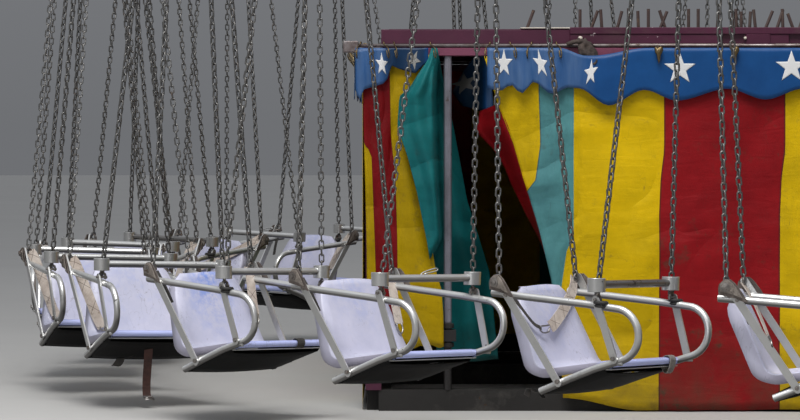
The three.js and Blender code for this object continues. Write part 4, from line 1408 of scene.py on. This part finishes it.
def eased(points, steps=6):
    """A smooth route through the given points."""
    points = [Vector(p) for p in points]
    points = [points[0] * 2 - points[1]] + points + [points[-1] * 2 - points[-2]]
    route = []
    for a, b, c, d in zip(points, points[1:], points[2:], points[3:]):
        for k in range(steps):
            t = k / steps
            route.append(0.5 * (2 * b + (c - a) * t + (2 * a - 5 * b + 4 * c - d) * t * t
                                + (3 * b - a - 3 * c + d) * t ** 3))
    route.append(points[-2])
    return route


def wire_clip_mesh():
    """A bent wire, left on one lap bar."""
    shape = bmesh.new()
    tube_mesh(shape, eased([(0.138, -0.030, 0.010), (0.136, -0.012, 0.022), (0.138, 0.050, 0.036),
                            (0.140, 0.056, 0.028), (0.140, -0.010, 0.017)], 4), 0.0026, 6)
    return finish_mesh("wire_clip", shape)


def rubber_material():
    material, tree, shader, place = blank_material("black rubber")
    dusty = patches(tree, place.outputs["Object"], 70.0, 0.48, 0.2)
    colour = mixed(tree, dusty, (0.012, 0.012, 0.012, 1), (0.05, 0.045, 0.04, 1))
    grain = put(tree, "ShaderNodeTexNoise", {"Vector": place.outputs["Object"], "Scale": 700.0})
    bump = bumped(tree, grain, 0.2, 0.0005)
    fill(tree, shader, {"Base Color": colour, "Roughness": 0.7, "Normal": bump})
    return material


black_rubber = rubber_material()
saddle_templates, fitting_template = {1: saddle_mesh((-1, 1)), 3: saddle_mesh((-1,))}, fitting_mesh()
for index in range(chair_count):
    pattern = index % pattern_length
    if pattern in saddle_templates:
        set_down(saddle_templates[pattern], index, black_rubber, "saddles", smooth=True)
    set_down(fitting_template, index, worn_bolt, "fittings")
    if pattern == 2:
        set_down(wire_clip_mesh(), index, silver_paint, "wire_clip", smooth=True)


# Rear brackets: at each rear pin a folded tab of stiff beige webbing hangs on the outside of the frame, held under
# the pin's bolt; it keeps the belt's fixed end. It is worn brown along its edges.

def webbing_material(name, light, dark, stitches=0.0):
    """Woven webbing: u runs across the band and v along it, both in metres; stitches colours a box-and-cross."""
    material, tree, shader, place = blank_material(name)
    at, uv = place.outputs["Object"], place.outputs["UV"]
    uneven = patches(tree, at, 36.0, 0.40, 0.22)
    colour = mixed(tree, uneven, (*light, 1), (*dark, 1))
    soiled = patches(tree, at, 90.0, 0.56, 0.08)
    some = sums(tree, "MULTIPLY", soiled, 0.6)
    colour = mixed(tree, some, colour, (dark[0] * 0.4, dark[1] * 0.38, dark[2] * 0.35, 1))
    apart = put(tree, "ShaderNodeSeparateXYZ", {0: uv})
    ribs = put(tree, "ShaderNodeTexWave", {"Vector": uv, "Scale": 55.0, "Distortion": 0.4}, bands_direction="X")
    picks = put(tree, "ShaderNodeTexWave", {"Vector": uv, "Scale": 160.0, "Distortion": 0.3}, bands_direction="Y")
    woven = sums(tree, "ADD", ribs.outputs["Fac"], picks.outputs["Fac"])
    if stitches:
        runs = sums(tree, "MULTIPLY", apart.outputs[1], 10.0)
        run = sums(tree, "FRACT", runs)
        cross = ranged(tree, run, 0.0, 0.45, -0.019, 0.019, clamp=False)
        side = sums(tree, "ABSOLUTE", apart)
        along = sums(tree, "ABSOLUTE", cross)
        apart_by = sums(tree, "SUBTRACT", side, along)
        off = sums(tree, "ABSOLUTE", apart_by)
        thread = ranged(tree, off, 0.0008, 0.0018, stitches, 0.0)
        box = sums(tree, "LESS_THAN", along, 0.019)
        sewn = sums(tree, "MULTIPLY", thread, box)
        colour = mixed(tree, sewn, colour, (0.05, 0.03, 0.022, 1))
    roughness = ranged(tree, soiled, low=0.78, high=0.9)
    bump = bumped(tree, woven, 0.6, 0.0008)
    fill(tree, shader, {"Base Color": colour, "Roughness": roughness, "Normal": bump})
    return material


beige_webbing = webbing_material("beige webbing", (0.60, 0.53, 0.47), (0.42, 0.35, 0.30), stitches=0.85)
bracket_brown = webbing_material("brown bracket webbing", (0.15, 0.122, 0.108), (0.060, 0.047, 0.041))
bracket_light = webbing_material("worn bracket webbing", (0.25, 0.215, 0.188), (0.11, 0.092, 0.078))
tab_outline = ((-0.022, -0.024), (-0.023, -0.004), (-0.020, 0.010), (-0.005, 0.024), (0.017, 0.025), (0.032, 0.013),
               (0.050, -0.010), (0.070, -0.040), (0.074, -0.050), (0.058, -0.046), (0.034, -0.036), (0.008, -0.030))


def tab_mesh():
    """Two folded layers a side; their UV is their own outline's plane."""
    shape = bmesh.new()
    layer = shape.loops.layers.uv.verify()
    for side in (-1, 1):
        y = side * (chair_half + 0.024)
        for low, high, grow, lift in ((0.0, 0.0032, 1.0, 0.0), (0.0045, 0.0072, 0.74, 0.004)):
            rings = []
            for depth, shrink in ((low, 1.0), (low + 0.0008, 1.03), (high - 0.0008, 1.03), (high, 1.0)):
                ring = []
                for x, z in tab_outline:
                    curl = 0.006 * smooth((x - 0.03) / 0.04)
                    ring.append(shape.verts.new((rear_pin + x * grow * shrink, y + side * (depth + curl),
                                                 z * grow * shrink + lift)))
                rings.append(ring)
            for face in plate(shape, rings):
                face.material_index = 0 if lift == 0.0 else 1
    bmesh.ops.triangulate(shape, faces=[face for face in shape.faces if len(face.verts) > 4])
    for face in shape.faces:
        for loop in face.loops:
            loop[layer].uv = (loop.vert.co.x - rear_pin, loop.vert.co.z)
    return finish_mesh("chair_tabs", shape)


tab_template = tab_mesh()
for index in range(chair_count):
    tabs = set_down(tab_template, index, bracket_brown, "rear_tabs")
    tabs.data.materials.append(bracket_light)


# Belts, strap bands and hanging straps: webbing bands between the sides of the chairs and down from their seats.
# Each chair was left in its own way: the belt across the seat, or hung down the back, or off the outer side.

def band_mesh(shape, route, width, across, thickness=0.0026):
    """A band of webbing along a route; across gives the direction of its width."""
    points = [Vector(p) for p in route]
    run, rings = 0.0, []
    for i, point in enumerate(points):
        before, after = points[max(i - 1, 0)], points[min(i + 1, len(points) - 1)]
        along = (after - before).normalized()
        side = (Vector(across) - along * along.dot(Vector(across))).normalized()
        normal = along.cross(side)
        run += (point - before).length if i else 0.0
        ring = [(shape.verts.new(point + side * a * width / 2 + normal * b * thickness / 2), (a * width / 2, run))
                for a, b in ((-1, -1), (0, -1), (1, -1), (1, 1), (0, 1), (-1, 1))]
        rings.append(ring)
    uv_rows(shape, [ring + ring[:1] for ring in rings])
    for ring in (rings[0], rings[-1]):
        for quad in ((0, 1, 4, 5), (1, 2, 3, 4)):
            uv_face(shape, [ring[k] for k in quad])


def belt_parts(way):
    """The belt's webbing, its dark end strap and its metal hook, for one way of leaving it."""
    webbing, strap, metal = bmesh.new(), bmesh.new(), bmesh.new()
    if way == "across":
        route = eased([(-0.243, 0.243, 0.006), (-0.212, 0.185, -0.034), (-0.176, 0.070, -0.095),
                       (-0.150, -0.040, -0.142), (-0.144, -0.075, -0.152)])
        band_mesh(webbing, route, 0.042, (0.40, 0.30, -0.85))
        loop = eased([(-0.144, -0.081, -0.146), (-0.146, -0.103, -0.148), (-0.150, -0.129, -0.150),
                      (-0.150, -0.133, -0.162), (-0.145, -0.119, -0.172), (-0.141, -0.091, -0.168),
                      (-0.144, -0.081, -0.146)], 3)
        tube_mesh(metal, loop[:-1], 0.0032, 8)
        band_mesh(strap, eased([(-0.147, -0.130, -0.156), (-0.158, -0.170, -0.136), (-0.190, -0.215, -0.070),
                                (-0.222, -0.240, -0.020)]), 0.014, (0.40, 0.30, -0.85), 0.002)
    elif way == "down":
        route = eased([(-0.243, 0.240, 0.004), (-0.218, 0.228, -0.030), (-0.188, 0.212, -0.085),
                       (-0.164, 0.204, -0.138), (-0.150, 0.202, -0.172)])
        band_mesh(webbing, route, 0.040, (0.10, 1.0, 0.0))
        loop = eased([(-0.152, 0.190, -0.170), (-0.142, 0.188, -0.192), (-0.136, 0.200, -0.208),
                      (-0.140, 0.214, -0.192), (-0.150, 0.214, -0.170)], 3)
        tube_mesh(metal, loop, 0.0032, 8)
        band_mesh(strap, eased([(-0.232, -0.240, -0.006), (-0.196, -0.232, -0.066), (-0.170, -0.224, -0.122)]), 0.018,
                  (0.10, 1.0, 0.0), 0.002)
    else:
        route = eased([(-0.240, -0.244, 0.010), (-0.222, -0.232, -0.012), (-0.198, -0.220, -0.060),
                       (-0.158, -0.202, -0.140), (-0.120, -0.185, -0.215), (-0.098, -0.170, -0.256)])
        band_mesh(webbing, route, 0.042, (0.45, 0.90, 0.0))
        loop = eased([(-0.100, -0.178, -0.254), (-0.088, -0.184, -0.262), (-0.070, -0.170, -0.266),
                      (-0.076, -0.156, -0.264), (-0.096, -0.160, -0.256)], 3)
        tube_mesh(metal, loop, 0.0032, 8)
        band_mesh(strap, eased([(-0.232, 0.240, -0.006), (-0.196, 0.232, -0.066), (-0.174, 0.226, -0.112)]), 0.018,
                  (0.10, 1.0, 0.0), 0.002)
    return finish_mesh("belt_webbing", webbing), finish_mesh("belt_strap", strap), finish_mesh("belt_metal", metal)


def drop_strap(points, width):
    """A strap hung from under the tray, its end swung or bent to one side."""
    shape = bmesh.new()
    band_mesh(shape, eased(points, 4), width, (0.45, 0.90, 0.0))
    return finish_mesh("drop_strap", shape)


def front_band(y, width, slack):
    """A strap wrapped round the front bar, its lower side hanging loose."""
    shape = bmesh.new()
    band_radius, route = roll_radius + 0.005, []
    for k in range(19):
        turn = math.radians(-200 + 23 * k)
        loose = slack * max(0.0, -math.sin(turn)) ** 1.5
        route.append((roll_x + band_radius * math.cos(turn), y + 0.0006 * k,
                      roll_z + band_radius * math.sin(turn) - loose))
    band_mesh(shape, route, width, (0.0, 1.0, 0.0), 0.0024)
    return finish_mesh("front_band", shape)


def buckle_mesh():
    """A wire buckle, at the end of the long strap."""
    shape = bmesh.new()
    loop = [(0.100, -0.060, -0.512), (0.100, -0.018, -0.512), (0.124, -0.018, -0.522), (0.124, -0.060, -0.522),
            (0.100, -0.060, -0.512)]
    tube_mesh(shape, loop, 0.0032, 8)
    tube_mesh(shape, [(0.112, -0.060, -0.517), (0.112, -0.018, -0.517)], 0.0028, 8)
    return finish_mesh("strap_buckle", shape)


black_webbing = webbing_material("black webbing", (0.030, 0.028, 0.027), (0.055, 0.048, 0.042))
grey_webbing = webbing_material("grey webbing", (0.30, 0.275, 0.255), (0.15, 0.135, 0.125))
red_brown_strap = webbing_material("red-brown strap", (0.11, 0.045, 0.035), (0.06, 0.03, 0.025))
hook_steel = painted_steel("snap hook steel", (0.36, 0.35, 0.34), (0.24, 0.22, 0.21), (0.10, 0.06, 0.04), chips=0.60,
                           chip_scale=140.0, rough=0.32, metal=0.9, bare_metal=0.4)
belt_ways = ("down", "across", "down", "down", "aside", "aside", "across")
belt_templates = {way: belt_parts(way) for way in ("across", "down", "aside")}
# hanging straps by place in the pattern of seven chairs: points, width
strap_ways = {4: ((((0.080, -0.03, -0.325), (0.070, -0.03, -0.40), (0.062, -0.03, -0.460), (0.078, -0.035, -0.505),
                    (0.108, -0.040, -0.517)), 0.036),
                  (((-0.06, -0.10, -0.360), (-0.060, -0.105, -0.380), (-0.085, -0.11, -0.400),
                    (-0.105, -0.112, -0.406)), 0.034)),
              5: ((((-0.01, 0.02, -0.350), (-0.008, 0.02, -0.378), (0.006, 0.02, -0.402)), 0.042),),
              1: ((((-0.085, -0.18, -0.356), (-0.125, -0.19, -0.372), (-0.155, -0.20, -0.362),
                    (-0.165, -0.21, -0.385)), 0.024),
                  (((-0.075, -0.10, -0.358), (-0.110, -0.12, -0.352), (-0.135, -0.15, -0.376),
                    (-0.120, -0.17, -0.392)), 0.018))}
for index in range(chair_count):
    pattern = index % pattern_length
    webbing, strap, metal = belt_templates[belt_ways[pattern]]
    set_down(webbing, index, beige_webbing, "belt")
    set_down(strap, index, black_webbing, "belt_end")
    set_down(metal, index, hook_steel, "belt_hook", smooth=True)
    for k, (points, width) in enumerate(strap_ways.get(pattern, ())):
        colour = red_brown_strap if (pattern, k) == (4, 0) else black_webbing
        set_down(drop_strap(points, width), index, colour, f"hanging_strap_{k + 1}")
    if pattern in (1, 3):
        set_down(front_band(0.185, 0.040, 0.026) if pattern == 1 else front_band(0.10, 0.040, 0.0), index,
                 grey_webbing if pattern == 1 else black_webbing, "front_band")
    if pattern == 4:
        set_down(buckle_mesh(), index, hook_steel, "strap_buckle", smooth=True)


# Hanger plates: two cut steel plates a chair, each on a swivel bolt through the ring's lug. A bolt and a shackle
# at each lower corner hold one chain.

hinge_level, hanger_reach, hanger_spread = 2.850, 0.338, 0.057


def hanger_mesh():
    shape = bmesh.new()
    for side in (-1, 1):
        outline = ((-0.026, 0.024), (0.026, 0.024), (0.083, -0.052), (0.055, -0.066), (-0.055, -0.066),
                   (-0.083, -0.052))
        rings = []
        for x, shrink in ((side * 0.331, 0.97), (side * 0.333, 1.0), (side * 0.343, 1.0), (side * 0.345, 0.97)):
            rings.append([shape.verts.new((x, y * shrink, hinge_level + z * shrink)) for y, z in outline])
        plate(shape, rings)
        tube_mesh(shape, [(side * 0.322, 0, hinge_level), (side * 0.356, 0, hinge_level)], 0.012, 6)
        for end in (-1, 1):
            y = end * hanger_spread
            tube_mesh(shape, [(side * 0.326, y, 2.812), (side * 0.352, y, 2.812)], 0.008, 6)
            tube_mesh(shape, [(side * 0.327, y, 2.812), (side * 0.327, y, 2.793), (side * 0.338, y, 2.783),
                              (side * 0.349, y, 2.793), (side * 0.349, y, 2.812)], 0.0045, 6)
    return finish_mesh("chair_hangers", shape)


hanger_template = hanger_mesh()
for index in range(chair_count):
    mesh = hanger_template.copy()
    mesh.transform(chair_place(index)[0])
    add_piece(f"chair_{index + 1:02d}_hangers", mesh, crown_paint, f"chair_{index + 1:02d}_body")


# Chains: welded steel chain from the hangers to the rear pins and, through the sleeves, to the front bars.
# Each chair has a plain mesh of four edges; the tree sets a link every pitch along them, each turned a quarter.

chain_pitch = 0.0257


def link_mesh():
    """One link, long in z, with a wire of four sides; kept small because it is repeated thousands of times."""
    wire, half_width, half_length = 0.0034, 0.0088, 0.0163
    shape = bmesh.new()
    rings = []
    for k in range(8):
        turn = math.pi / 8 + 2 * math.pi * k / 8
        out = Vector((math.cos(turn), 0, math.sin(turn)))
        rise = (half_length - half_width) * (1 if out.z > 0 else -1)
        centre = Vector((out.x * half_width, 0, out.z * half_width + rise))
        ring = []
        for j in range(4):
            tilt = math.pi / 4 + math.pi / 2 * j
            ring.append(shape.verts.new(centre + out * wire * math.cos(tilt) * 1.12
                                        + Vector((0, 1, 0)) * wire * math.sin(tilt) * 1.12))
        rings.append(ring)
    skin(shape, rings, closed=True)
    return finish_mesh("chain_link", shape)


def chain_tree():
    tree, given, result = repeat_group("Chain", [("Link", "Object", None), ("Pitch", "Float", None),
                                                 ("Loose", "Float", None), ("Seed", "Int", None)])
    line = put(tree, "GeometryNodeMeshToCurve", {"Mesh": given["Geometry"]})
    points = put(tree, "GeometryNodeCurveToPoints", {"Curve": line, "Length": given["Pitch"]}, mode="LENGTH")
    number = put(tree, "GeometryNodeInputIndex")
    quarter = sums(tree, "MULTIPLY", number, math.pi / 2)
    wobble = put(tree, "FunctionNodeRandomValue", {"Min": (-1, -1, -1), "Max": (1, 1, 1), "ID": number,
                                                   "Seed": given["Seed"]}, data_type="FLOAT_VECTOR")
    amount = put(tree, "ShaderNodeVectorMath", {0: wobble, "Scale": given["Loose"]}, operation="SCALE")
    base_turn = put(tree, "ShaderNodeCombineXYZ", {2: quarter})
    turn = put(tree, "ShaderNodeVectorMath", {0: base_turn, 1: amount}, operation="ADD")
    along = put(tree, "FunctionNodeAlignRotationToVector", {"Vector": points.outputs["Tangent"]}, axis="Z")
    whole = put(tree, "FunctionNodeRotateRotation", {0: along, 1: turn}, rotation_space="LOCAL")
    link = put(tree, "GeometryNodeObjectInfo", {"Object": given["Link"]})
    return repeat_result(tree, given, result, {"Points": points, "Instance": link.outputs["Geometry"],
                                               "Rotation": whole})


def chain_material():
    material, tree, shader, place = blank_material("dark chain steel")
    at = place.outputs["Object"]
    rusty = patches(tree, at, 60.0, 0.55, 0.14)
    colour = mixed(tree, rusty, (0.150, 0.147, 0.143, 1), (0.075, 0.050, 0.036, 1))
    rubbed = patches(tree, at, 160.0, 0.60, 0.04)
    colour = mixed(tree, rubbed, colour, (0.44, 0.43, 0.42, 1))
    metallic = ranged(tree, rusty, low=0.85, high=0.2)
    roughness = ranged(tree, rusty, low=0.42, high=0.75)
    pitted = noisy(tree, at, 900.0, 3.0)
    bump = bumped(tree, pitted, 0.3, 0.0006)
    fill(tree, shader, {"Base Color": colour, "Metallic": metallic, "Roughness": roughness, "Normal": bump})
    return material


chain_steel, chains = chain_material(), chain_tree()
link = new_object("chain_link", link_mesh())
for index in range(chair_count):
    stand, chair = chair_place(index)
    points = []
    for side in (-1, 1):
        for foot, stop in (((rear_pin, side * chair_half, 0.020), -hanger_reach),
                           ((0.146, side * (chair_half - 0.002), -0.026), hanger_reach)):
            points.append(stand @ Vector((stop, side * hanger_spread, hinge_level - 0.065)))
            points.append(chair @ Vector(foot))
    line = bpy.data.meshes.new("chain_lines")
    line.from_pydata([tuple(p) for p in points], [(0, 1), (2, 3), (4, 5), (6, 7)], [])
    mesh = grown(f"chair_{index + 1:02d}_chains", line, chains, Link=link, Pitch=chain_pitch, Loose=0.10,
                 Seed=index, Material=chain_steel)
    add_piece(f"chair_{index + 1:02d}_chains", mesh, None, f"chair_{index + 1:02d}_body")
bpy.data.objects.remove(link)


# Floor, light and camera: a plain pale floor under a soft overcast light, seen from the photograph's place.
# The floor and its far edge are part of the stage, not of the ride.

floor_shape = bmesh.new()
bmesh.ops.create_grid(floor_shape, x_segments=8, y_segments=8, size=60.0)
floor_mesh = mesh_of("studio_floor", floor_shape)
floor_material, tree, shader, place = blank_material("pale studio floor")
uneven = patches(tree, place.outputs["Object"], 1.5, 0.35, 0.4)
pale = mixed(tree, uneven, (0.42, 0.415, 0.405, 1), (0.46, 0.455, 0.445, 1))
fill(tree, shader, {"Base Color": pale, "Roughness": 0.85})
studio_floor = new_object("studio_floor", floor_mesh)
floor_mesh.materials.append(floor_material)

world = bpy.data.worlds.new("overcast studio")
bpy.context.scene.world = world
world.use_nodes = True
sky = world.node_tree
background = sky.nodes["Background"]
direction = sky.nodes.new("ShaderNodeTexCoord")
height = put(sky, "ShaderNodeSeparateXYZ", {0: direction.outputs["Generated"]})
rise = ranged(sky, height.outputs[2], 0.0, 0.8)
shade = mixed(sky, rise, (0.30, 0.31, 0.33, 1), (0.92, 0.95, 1.0, 1))
fill(sky, background, {"Color": shade, "Strength": 0.52})


def soft_light(name, place, target, size, power, colour):
    lamp = bpy.data.lights.new(name, "AREA")
    lamp.shape, lamp.size, lamp.size_y = "RECTANGLE", size[0], size[1]
    lamp.energy, lamp.color = power, colour
    holder = new_object(name, lamp)
    holder.location = place
    holder.rotation_euler = (Vector(target) - Vector(place)).to_track_quat("-Z", "Y").to_euler()


soft_light("overhead", (-2.5, -6.0, 8.5), (-0.5, -1.0, 0.6), (5.0, 4.0), 950, (1.0, 0.99, 0.97))
soft_light("front_fill", (-7.0, -13.0, 3.5), (-1.5, -2.5, 0.8), (5.0, 3.0), 130, (0.97, 0.98, 1.0))

lens = bpy.data.cameras.new("photo_camera")
lens.lens, lens.sensor_width = 148.8, 36.0
lens.clip_end = 200.0
camera = new_object("photo_camera", lens)
camera.location = (-2.108, -14.402, 1.09)
looking_down = math.radians(1.441)
camera.rotation_euler = (math.pi / 2 - looking_down, 0.0, 0.0)
bpy.context.scene.camera = camera

bpy.context.scene.view_settings.view_transform = "Standard"
